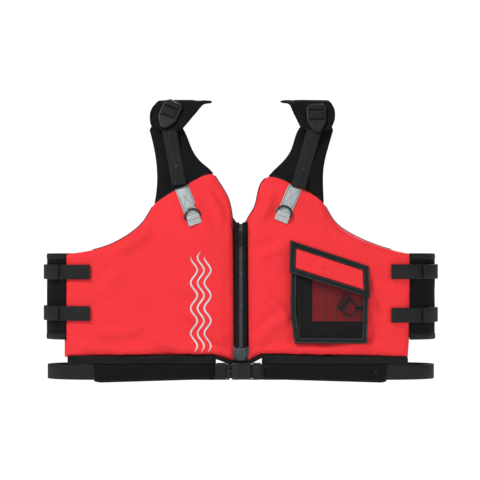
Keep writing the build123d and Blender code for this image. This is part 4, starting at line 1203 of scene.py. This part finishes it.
LADDER_T = 4 * MM
shoulder_seams, bartacks = [], []
for side_name in SIDES:
    joint = joints[f"{side_name}_ladder_lock_tilt"]
    across = -Vector(joint["axis"])
    lock = f"{side_name}_ladder_lock"
    out = main_normal(lock)
    up = out.cross(across).normalized()
    origin = Vector(joint["pos_m"]) - out * LADDER_T / 2

    def on_lock(v, w):
        return origin + (up * v + out * w) * MM

    node = f"{side_name}_shoulder_webbing"
    spots = [v.co for v in nodes[node].data.vertices]
    lowest = min(v.z for v in spots)
    foot = [v for v in spots if v.z < lowest + 8 * MM]
    start = sum(foot, Vector()) / len(foot) - out * 0.4 * MM
    tip = start.lerp(on_lock(-26, -2.0), 0.84)
    along = (tip - start).normalized()
    face_out = (out - along * out.dot(along)).normalized()
    hem = [start + along * 11 * MM + face_out * 2.0 * MM, start + face_out * 2.0 * MM,
           start - along * 1.5 * MM + face_out * 0.9 * MM]
    threaded = [on_lock(v, w) for v, w in ((-28, -1.8), (-24.4, -0.5), (-21, 4.2), (-17, 5.0), (-11, 5.0),
                                           (-7.5, 4.0), (-5.4, 0.4), (-5.4, -1.0))]
    path = smooth_path([*hem, start, start.lerp(tip, 0.35) + face_out * 0.6 * MM, start.lerp(tip, 0.7), tip,
                        *threaded])
    square = face_out.cross(along)
    square = square if square.dot(across) < 0 else -square
    turned = [min(1.0, max(0.0, ((p - start).dot(along) / (tip - start).length - 0.75) / 0.4)) for p in path]
    course = Course(path, across=[square.lerp(-across, share).normalized() for share in turned])
    strap = place(ribbon(f"{side_name}_shoulder_strap", course, webbing), "webbing", node, body=None)
    face_lift = front_lift(course, WEB_T)
    for u in (-9, 9):
        shoulder_seams.append(along_tape(course, u * MM, 13 * MM, 27 * MM, face_lift))
    shoulder_seams.append([course.spot(25 * MM, u * MM, face_lift) for u in np.linspace(-9, 9, 9)])
    bartacks.append([course.spot(47 * MM, u * MM, face_lift) for u in (-0.8, 0, 0.8)])
    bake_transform(strap)

    def pad_w(v):
        """How far below the back of the lock the pad lies, where it bends away over the shoulder."""
        beyond, radius = min(25.0, max(0.0, v + 8.0)), PAD_R / MM
        return -2.5 - (radius - math.sqrt(radius ** 2 - beyond ** 2))

    loop_points = [(v, pad_w(v) + w) for v, w in ((14, 1.0), (9, 1.0), (5, 1.3))]
    loop_points += [(1, -1.7), (-2.5, -1.5), (-4.9, 0.6), (-5.1, 2.8), (-3.4, 5.2), (0, 5.5), (4.8, 4.0)]
    loop_points += [(v, pad_w(v) + w) for v, w in ((7.6, 3.6), (11, 2.9), (14.4, 2.8))]
    loop_course = Course(smooth_path([on_lock(v, w) for v, w in loop_points], step=1.5 * MM), across=across)
    lock_loop = ribbon(f"{side_name}_lock_loop", loop_course, webbing)
    place(lock_loop, "webbing", *(["shoulder_lock_loops"] if side_name == "right" else []))
stitches("shoulder_strap_stitches", shoulder_seams, black_thread, "webbing")
stitches("bartack_dots", bartacks, white_thread, "webbing", stitch=1.1 * MM, gap=0.1 * MM, thick=0.8 * MM)

# ---------------------------------------------------------------- zip

ZIP_PITCH = 2.8 * MM
zip_low, zip_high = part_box("left_zip_teeth")
zip_y = (zip_low.y + zip_high.y) / 2


def zip_teeth(side_name, side):
    """One row of moulded teeth, whose heads reach past the middle, between those of the other row."""
    vertices, faces = [], []
    count = int((zip_high.z - zip_low.z) / ZIP_PITCH)
    section = [(0.0, 0.55), (0.55, 1.0), (1.3, 0.72), (2.2, 0.9), (3.9, 0.9)]  # mm from the head, and height
    for number in range(count):
        z = zip_low.z + (number + 0.5 + 0.5 * (side > 0)) * ZIP_PITCH
        base = len(vertices)
        for reach, half in section:
            x = side * (reach - 0.7) * MM
            for dy, dz in ((-1.15, -0.62), (-1.15, 0.62), (1.15, 0.62), (1.15, -0.62)):
                vertices.append((x, zip_y + dy * (1.0 if reach else 0.8) * MM, z + dz * half * MM * 1.5))
        faces += tube(base, len(section), 4, -side)
    return softened(new_mesh(f"{side_name}_teeth", vertices, faces, [tooth_plastic], smooth=False), 0.22 * MM)


zip_seams = []
for side_name, side in SIDES.items():
    place(zip_teeth(side_name, side), "zip_plastic", f"{side_name}_zip_teeth")
    tape_low, tape_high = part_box(f"{side_name}_zip_tape")
    # The tape lies flat beside the teeth and then bends back into the edge of the panel
    section = [(2.4, 0.0), (5.0, -0.1), (7.6, 0.2), (9.4, 2.0), (11.2, 6.0), (13.0, 10.0)]
    rows = np.linspace(tape_low.z, tape_high.z - 1.0 * MM, 60)
    vertices, uvs = [], []
    for thickness in (-0.5, 0.5):
        for z in rows:
            for x, y in section:
                vertices.append((side * x * MM, zip_y + (y + thickness) * MM, z))
                uvs.append((x * MM, z))
    quads = closed_grid(len(rows), len(section), -side)
    tape = new_mesh(f"{side_name}_zip_knit", vertices, quads, [zip_knit], uvs)
    place(tape, "zip_tape", f"{side_name}_zip_tape")
    zip_seams.append([(Vector((side * 6.6 * MM, zip_y - 0.5 * MM, z)), -Y) for z in rows])
stitches("zip_stitches", zip_seams, black_thread, "zip_tape")

# ---------------------------------------------------------------- pocket

POCKET_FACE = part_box("pocket_mesh")[0].y


def flat_sheet(name, loop, step, surface, y_of, thickness=0.8 * MM, bulge=0.0, seed=0):
    """A thin closed sheet of cloth within an outline, at the y that a function gives each point."""
    loop = evenly(loop, step)
    points, triangles = filled(loop, step)
    distance = edge_distance(points, loop)
    rise = bulge * rounding(distance, 25 * MM) + 0.25 * MM * hills(points, seed, 30 * MM)
    near = np.array([y_of(x, z) for x, z in points]) - rise
    count, ring = len(points), len(loop)
    vertices = [(x, y, z) for (x, z), y in zip(points, near)]
    vertices += [(x, y + thickness, z) for (x, z), y in zip(points, near)]
    made = list(triangles) + [tuple(i + count for i in f[::-1]) for f in triangles]
    made += [((i + 1) % ring, i, i + count, (i + 1) % ring + count) for i in range(ring)]
    return new_mesh(name, vertices, made, [surface], list(points) * 2)


def left_face(x, z):
    return surface_y(faces["left"], x, z, FRONT)


# The patch behind the mesh reaches in under the binding, and up behind the flap
patch_loop = np.array([(91, 184), (96, 71), (213, 71), (213, 105), (121, 105), (121, 178)]) * MM
patch = flat_sheet("pocket_backing", patch_loop, 5 * MM, black_cloth, lambda x, z: left_face(x, z) - 0.9 * MM)
place(patch, "black_cloth", "pocket_patch")

POCKET = [np.array(p) * MM for p in ((85, 190), (84, 120), (91, 68), (214, 67), (217, 152))]
wall_top = POCKET_FACE + 0.8 * MM
wall_line = []
for a, b in zip(POCKET, POCKET[1:]):
    wall_line += straight(a, b, 4 * MM)[:-1]
wall_line.append(tuple(POCKET[-1]))
wall_rows = 5
vertices, uvs = [], []
for drawn in (0.3 * MM, 1.4 * MM):
    for i, (x, z) in enumerate(wall_line):
        along = np.array(wall_line[min(i + 1, len(wall_line) - 1)]) - np.array(wall_line[max(i - 1, 0)])
        along = along / np.linalg.norm(along)
        x, z = np.array((x, z)) + np.array((-along[1], along[0])) * drawn
        foot = left_face(x, z) + 0.5 * MM
        for row in range(wall_rows):
            share = row / (wall_rows - 1)
            slack = 0.8 * MM * math.sin(math.pi * share) * math.sin(i * 0.9)
            vertices.append((x - along[1] * slack, foot + (wall_top - foot) * share, z + along[0] * slack))
            uvs.append((i * 4 * MM, share * 8 * MM))
wall = new_mesh("pocket_wall", vertices, closed_grid(len(wall_line), wall_rows, -1), [black_cloth], uvs)
place(wall, "black_cloth", "pocket_gusset")


def bound_edge(name, outer, inner, base_y, thickness, seams):
    """Binding tape round an edge, with its corners folded square. Outer and inner are matching corner points,
    and base_y gives the y of the cloth under the tape. Its two rows of stitches are added to seams."""
    section = ((0.0, 0.25), (0.03, 0.7), (0.1, 1.0), (0.3, 0.86), (0.5, 0.82), (0.7, 0.86), (0.9, 1.0),
               (0.97, 0.7), (1.0, 0.25))
    vertices, uvs = [], []
    rows, reached = 0, 0.0
    for (a, b), (c, d) in zip(zip(outer, outer[1:]), zip(inner, inner[1:])):
        length = float(np.linalg.norm(b - a))
        count = max(2, round(length / (4 * MM)))
        for i in range(count + 1):
            if i == 0 and rows:
                continue
            share = i / count
            edge, middle = a + (b - a) * share, c + (d - c) * share
            for across, height in section + ((1.0, 0.0), (0.0, 0.0)):
                x, z = edge + (middle - edge) * across
                vertices.append((x, base_y(x, z) - height * thickness, z))
                uvs.append((across * 10 * MM, reached + share * length))
            rows += 1
        reached += length
        for across in (0.14, 0.86):
            start, end = a + (c - a) * across, b + (d - b) * across
            run = straight(start, end, 5 * MM)
            seams.append([(Vector((x, base_y(x, z) - 0.97 * thickness, z)), -Y) for x, z in run])
    faces = tube(0, rows, len(section) + 2)
    return turned_outward(new_mesh(name, vertices, faces, [binding_tape], uvs))


def drawn_corners(corners, widths):
    """The corner points a width in from each side of an outline that is open at its top ends or closed."""
    closed = len(widths) == len(corners)
    made = []
    for i, corner in enumerate(corners):
        before = i - 1 if closed or i else None
        after = i if closed or i < len(widths) else None
        lines = []
        for side in (before, after):
            if side is None:
                continue
            a, b = corners[side], corners[(side + 1) % len(corners)]
            along = (b - a) / np.linalg.norm(b - a)
            normal = np.array((-along[1], along[0]))
            lines.append((normal, normal @ a + widths[side]))
        if len(lines) == 1:
            made.append(corner + lines[0][0] * (lines[0][1] - lines[0][0] @ corner))
        else:
            made.append(np.linalg.solve(np.array([n for n, _ in lines]), np.array([d for _, d in lines])))
    return made


pocket_seams = []
rim_inner = drawn_corners(POCKET, [9.5 * MM, 9.5 * MM, 9 * MM, 8.5 * MM])
binding_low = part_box("pocket_binding")[0].y
pocket_edge = bound_edge("pocket_edge_binding", POCKET, rim_inner, lambda x, z: binding_low + 1.5 * MM,
                         1.7 * MM, pocket_seams)
place(pocket_edge, "binding", "pocket_binding")
stitches("pocket_binding_stitches", pocket_seams, grey_thread, "binding", thick=0.55 * MM)

# The open mesh of the pocket: threads both ways, the upright ones heavier
NET_PITCH = 2.9 * MM
net_loop = evenly(outline_of("pocket_mesh", FRONT), 5 * MM)
net_y = POCKET_FACE + 0.9 * MM


def net_rise(x, z):
    return net_y - 0.5 * MM * math.sin(x * 38) * math.sin(z * 47)


def crossings(loop, axis, at):
    """Where an outline crosses a line at a height along one axis, as pairs along the other."""
    found = []
    other = 1 - axis
    for a, b in zip(loop, np.roll(loop, -1, axis=0)):
        if (a[axis] > at) != (b[axis] > at):
            found.append(a[other] + (at - a[axis]) * (b[other] - a[other]) / (b[axis] - a[axis]))
    found.sort()
    return list(zip(found[::2], found[1::2]))


def net(loop, pitch):
    """Threads across an outline both ways, the upright ones lying just in front of the others."""
    vertices, faces = [], []
    for axis, half in ((0, 0.56 * MM), (1, 0.44 * MM)):
        low, high = loop[:, axis].min(), loop[:, axis].max()
        for line in np.arange(low + pitch / 2, high, pitch):
            for start, end in crossings(loop, axis, line):
                spots = np.linspace(start, end, max(2, round((end - start) / (2 * pitch)) + 1))
                base = len(vertices)
                for spot in spots:
                    x, z = (line, spot) if axis == 0 else (spot, line)
                    y = net_rise(x, z) - (0.15 * MM if axis == 0 else 0.0)
                    for u, w in ((-half, 0), (0, -0.6 * half), (half, 0), (0, 0.6 * half)):
                        vertices.append((x + (u if axis == 0 else 0), y + w, z + (u if axis == 1 else 0)))
                faces += tube(base, len(spots), 4, 1 if axis else -1)
    return vertices, faces


mesh_cloth = new_mesh("pocket_net", *net(net_loop, NET_PITCH), [net_thread], smooth=False)
place(mesh_cloth, "mesh", "pocket_mesh")
# A seam of the mesh shows as a light line beside its left binding
fold_points = [Vector((x, net_rise(x, z) - 0.6 * MM, z))
               for x, z in straight((97.5 * MM, 180 * MM), (100 * MM, 78 * MM), 5 * MM)]
seam = Course(fold_points, normals=[-Y] * len(fold_points))
net_seam = place(ribbon("pocket_net_seam", seam, binding_tape, 2.2 * MM, 0.8 * MM), "mesh")

# The flap is flat: its corners and one point just inside them give the plane that it lies in
flap_loop = outline_of("flap_binding", FRONT)
flap_normal = main_normal("flap_binding")
inside = min(flap_loop, key=lambda p: p[0] - p[1]) + np.array((2, -5)) * MM
flap_origin = Vector((inside[0], surface_y(tree_of("flap_binding"), *inside, FRONT), inside[1]))
flap_corners = [np.array(min(flap_loop, key=lambda p: sx * p[0] + sz * 0.15 * p[1]))
                for sx, sz in ((1, -1), (1, 1), (-1, 1), (-1, -1))]


def flap_y(x, z):
    """The outer face of the flap's plane at a place seen from the front."""
    off = flap_normal.x * (x - flap_origin.x) + flap_normal.z * (z - flap_origin.z)
    return flap_origin.y - off / flap_normal.y


window_loop = outline_of("pocket_flap", FRONT)
crown = flat_sheet("flap_cloth", window_loop, 4 * MM, red_cloth, lambda x, z: flap_y(x, z) + 1.0 * MM,
                   thickness=1.6 * MM, bulge=1.6 * MM, seed=71)
place(subdivided(crown), "red_cloth", "pocket_flap", body="pocket_flap")
flap_seams = []
flap_inner = drawn_corners(flap_corners, [10 * MM, 9.5 * MM, 10 * MM, 10 * MM])
flap_edge = bound_edge("flap_edge_binding", flap_corners + flap_corners[:1], flap_inner + flap_inner[:1],
                       lambda x, z: flap_y(x, z) + 2.4 * MM, 3.0 * MM, flap_seams)
place(flap_edge, "binding", "flap_binding", body="pocket_flap")
stitches("flap_binding_stitches", flap_seams, grey_thread, "binding", thick=0.45 * MM, body="pocket_flap")
crown_tree = tree_of(crown)
middle = np.array((148, 189.7)) * MM  # of the square that is sewn on the flap
square = [middle + np.array(corner) * MM for corner in ((-8.5, -5), (8, -8), (8.5, 5.5), (-8, 8))]
square_runs = [on_surface(crown_tree, straight(a, b, 2 * MM), FRONT)
               for a, b in zip(square, square[1:] + square[:1])]
stitches("flap_square_stitches", square_runs, red_thread, "red_cloth", thick=0.8 * MM, body="pocket_flap")

# Webbing tab that holds the key ring of the snap hook
tab_low, tab_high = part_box("hook_tab")
tab_z, tab_y = (tab_low.z + tab_high.z) / 2, (tab_low.y + tab_high.y) / 2
ring_x = tab_low.x + 2.9 * MM
TAB_END = 214 * MM
tab_points = [(TAB_END, tab_y + 0.7 * MM)]
tab_points += [(ring_x + x * MM, tab_y + y * MM)
               for x, y in ((6, 0.7), (2, 2.2), (-2.0, 1.6), (-2.6, 0), (-2.0, -1.6), (2, -2.2), (6, -0.7))]
tab_points.append((TAB_END, tab_y - 0.7 * MM))
tab_course = Course(smooth_path([(x, y, tab_z) for x, y in tab_points], step=1.5 * MM), across=Z)
tab = ribbon("hook_webbing_tab", tab_course, webbing, tab_high.z - tab_low.z, 1.2 * MM)
place(tab, "webbing", "hook_tab")

# ---------------------------------------------------------------- print and seams on the panels

# Three thin parallel waves up the wearer's right panel
print_x, print_low, print_high = -68 * MM, 52 * MM, 224 * MM
WAVE_LENGTH, WAVE_SWING, WAVE_GAP, WAVE_LINE = 43 * MM, 5.5 * MM, 11.5 * MM, 3.0 * MM
front_tree = tree_of(soft["right_front"])
vertices, quads = [], []
for number in (-1, 0, 1):
    heights = np.linspace(print_low, print_high - abs(number) * 9 * MM, 90)
    for i, z in enumerate(heights):
        taper = min(1.0, (i + 0.2) / 5, (len(heights) - 0.8 - i) / 5)
        phase = 2 * math.pi * (z - print_low) / WAVE_LENGTH
        x = print_x + number * WAVE_GAP + WAVE_SWING * math.sin(phase)
        slope = WAVE_SWING * 2 * math.pi / WAVE_LENGTH * math.cos(phase)
        across = np.array((1.0, -slope)) / math.hypot(1.0, slope)
        for side in (-1, 1):
            px, pz = np.array((x, z)) + across * side * WAVE_LINE / 2 * taper
            vertices.append((px, surface_y(front_tree, px, pz, FRONT) - 0.22 * MM, pz))
        if i:
            a = len(vertices) - 4
            quads.append((a, a + 1, a + 3, a + 2))
waves = place(new_mesh("wave_print", vertices, quads, [silver_ink]), "reflective")
waves.modifiers.new("ink", "SOLIDIFY").thickness = 0.12 * MM


def seam_inside(tree, loop, distance, keep, facing=FRONT):
    """A run of seam at a distance inside an outline, for its points that a test keeps."""
    runs, run = [], []
    for p in inset(evenly(loop, 3 * MM), distance):
        if keep(p) and (not run or np.linalg.norm(p - run[-1]) < 9 * MM):
            run.append(p)
        else:
            runs.append(run)
            run = [p] if keep(p) else []
    runs.append(run)
    return [on_surface(tree, r, facing) for r in runs if len(r) > 4]


def beside_zip(p):
    return abs(p[0]) < 24 * MM and 40 * MM < p[1] < 268 * MM


def above_hem(p):
    return p[1] < 66 * MM and abs(p[0]) > 40 * MM


red_runs = []
for distance, keep in ((7 * MM, beside_zip), (6 * MM, above_hem)):
    for side in SIDES:
        panel = f"{side}_front"
        red_runs += seam_inside(tree_of(soft[panel]), panel_outlines[panel], distance, keep)
stitches("red_panel_stitches", red_runs, red_thread, "red_cloth", thick=0.38 * MM)
black_runs = []
for (side_name, facing), loop in shoulder_outlines.items():
    panel = panel_under(side_name, facing)
    black_runs += seam_inside(tree_of(soft[shoulder_node(side_name, facing)]), loop, 3.5 * MM,
                              lambda p: edge_distance(np.array([p]), panel)[0] < 5 * MM, facing)
for side_name in SIDES:
    pad_tree = tree_of(soft[f"{side_name}_pad"])
    pad_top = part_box(f"{side_name}_pad")[1].z - 12 * MM
    for facing in (FRONT, BACK):
        black_runs += seam_inside(pad_tree, outline_of(f"{side_name}_pad", facing), 6 * MM,
                                  lambda p: p[1] < pad_top, facing)
    sleeve = f"{side_name}_belt_sleeve"
    black_runs += seam_inside(tree_of(soft[sleeve]), outline_of(sleeve, FRONT), 3.5 * MM, lambda p: True)
stitches("black_panel_stitches", black_runs, black_thread, "black_cloth", thick=0.38 * MM)

# ---------------------------------------------------------------- hardware that stays as it is in CAD

HARDWARE = (
    (acetal, 0.35, ("male_buckle", "female_buckle", "upper_prong", "lower_prong", "side_ladder_locks",
                    "left_ladder_lock", "right_ladder_lock")),
    (coated_wire, 0.15, ("zip_slider", "zip_pull")),
    (coated_wire, 0.05, ("left_d_ring", "right_d_ring")),
    (coated_wire, 0.4, ("snap_hook", "snap_hook_gate")),
    (zip_grey, 0.5, ("zip_box",)),
)
for surface, bevel, kept in HARDWARE:
    for node in kept:
        finish(node, surface, bevel * MM)

# The grey film that stiffens the bottom of the zip's tapes, and the moulded stops on it
box_low, box_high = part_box("zip_box")
film_course = Course([(0, box_high.y + 0.7 * MM, z * MM) for z in (36.5, 44, 52, 61.5)], across=X)
place(ribbon("zip_end_film", film_course, zip_grey, 27 * MM, 0.7 * MM), "grey_plastic")


def moulding(name, outline, y_back, height, surface):
    """A small raised moulding within an outline in mm, with its edges rounded."""
    count = len(outline)
    vertices = [(x * MM, y_back - h * MM, z * MM) for h in (0.0, height) for x, z in outline]
    quads = [(i, (i + 1) % count, (i + 1) % count + count, i + count) for i in range(count)]
    quads += [tuple(range(count))[::-1], tuple(range(count, 2 * count))]
    made = turned_outward(new_mesh(name, vertices, quads, [surface], smooth=False))
    return softened(made, 0.35 * height * MM, segments=3)


turns_round = [math.radians(a) for a in range(0, 360, 15)]
stop = [(4.2 * math.cos(t), 50 + 4.2 * math.sin(t)) for t in turns_round]
place(moulding("zip_end_stop", stop, box_low.y + 0.1 * MM, 1.0, tooth_plastic), "grey_plastic")
retainer = [(-6, 38.8), (6, 38.8), (6.6, 44.5), (-6.6, 44.5)]
place(moulding("zip_retainer", retainer, box_low.y + 0.1 * MM, 0.9, tooth_plastic), "grey_plastic")

# ---------------------------------------------------------------- floor

FLOOR_Z, FLOOR_R = -0.30, 1.8
FLOOR_SIDES = 96
around = [2 * math.pi * i / FLOOR_SIDES for i in range(FLOOR_SIDES)]
vertices = [(FLOOR_R * math.cos(t), FLOOR_R * math.sin(t), FLOOR_Z) for t in around]
paper = Look("white_paper", (0.93, 0.93, 0.93), 0.95, 0.05)
paper.shader["Emission Color"].default_value = (1, 1, 1, 1)
paper.shader["Emission Strength"].default_value = 0.46
floor = new_mesh("floor", vertices, [tuple(range(FLOOR_SIDES))], [paper.material], smooth=False)
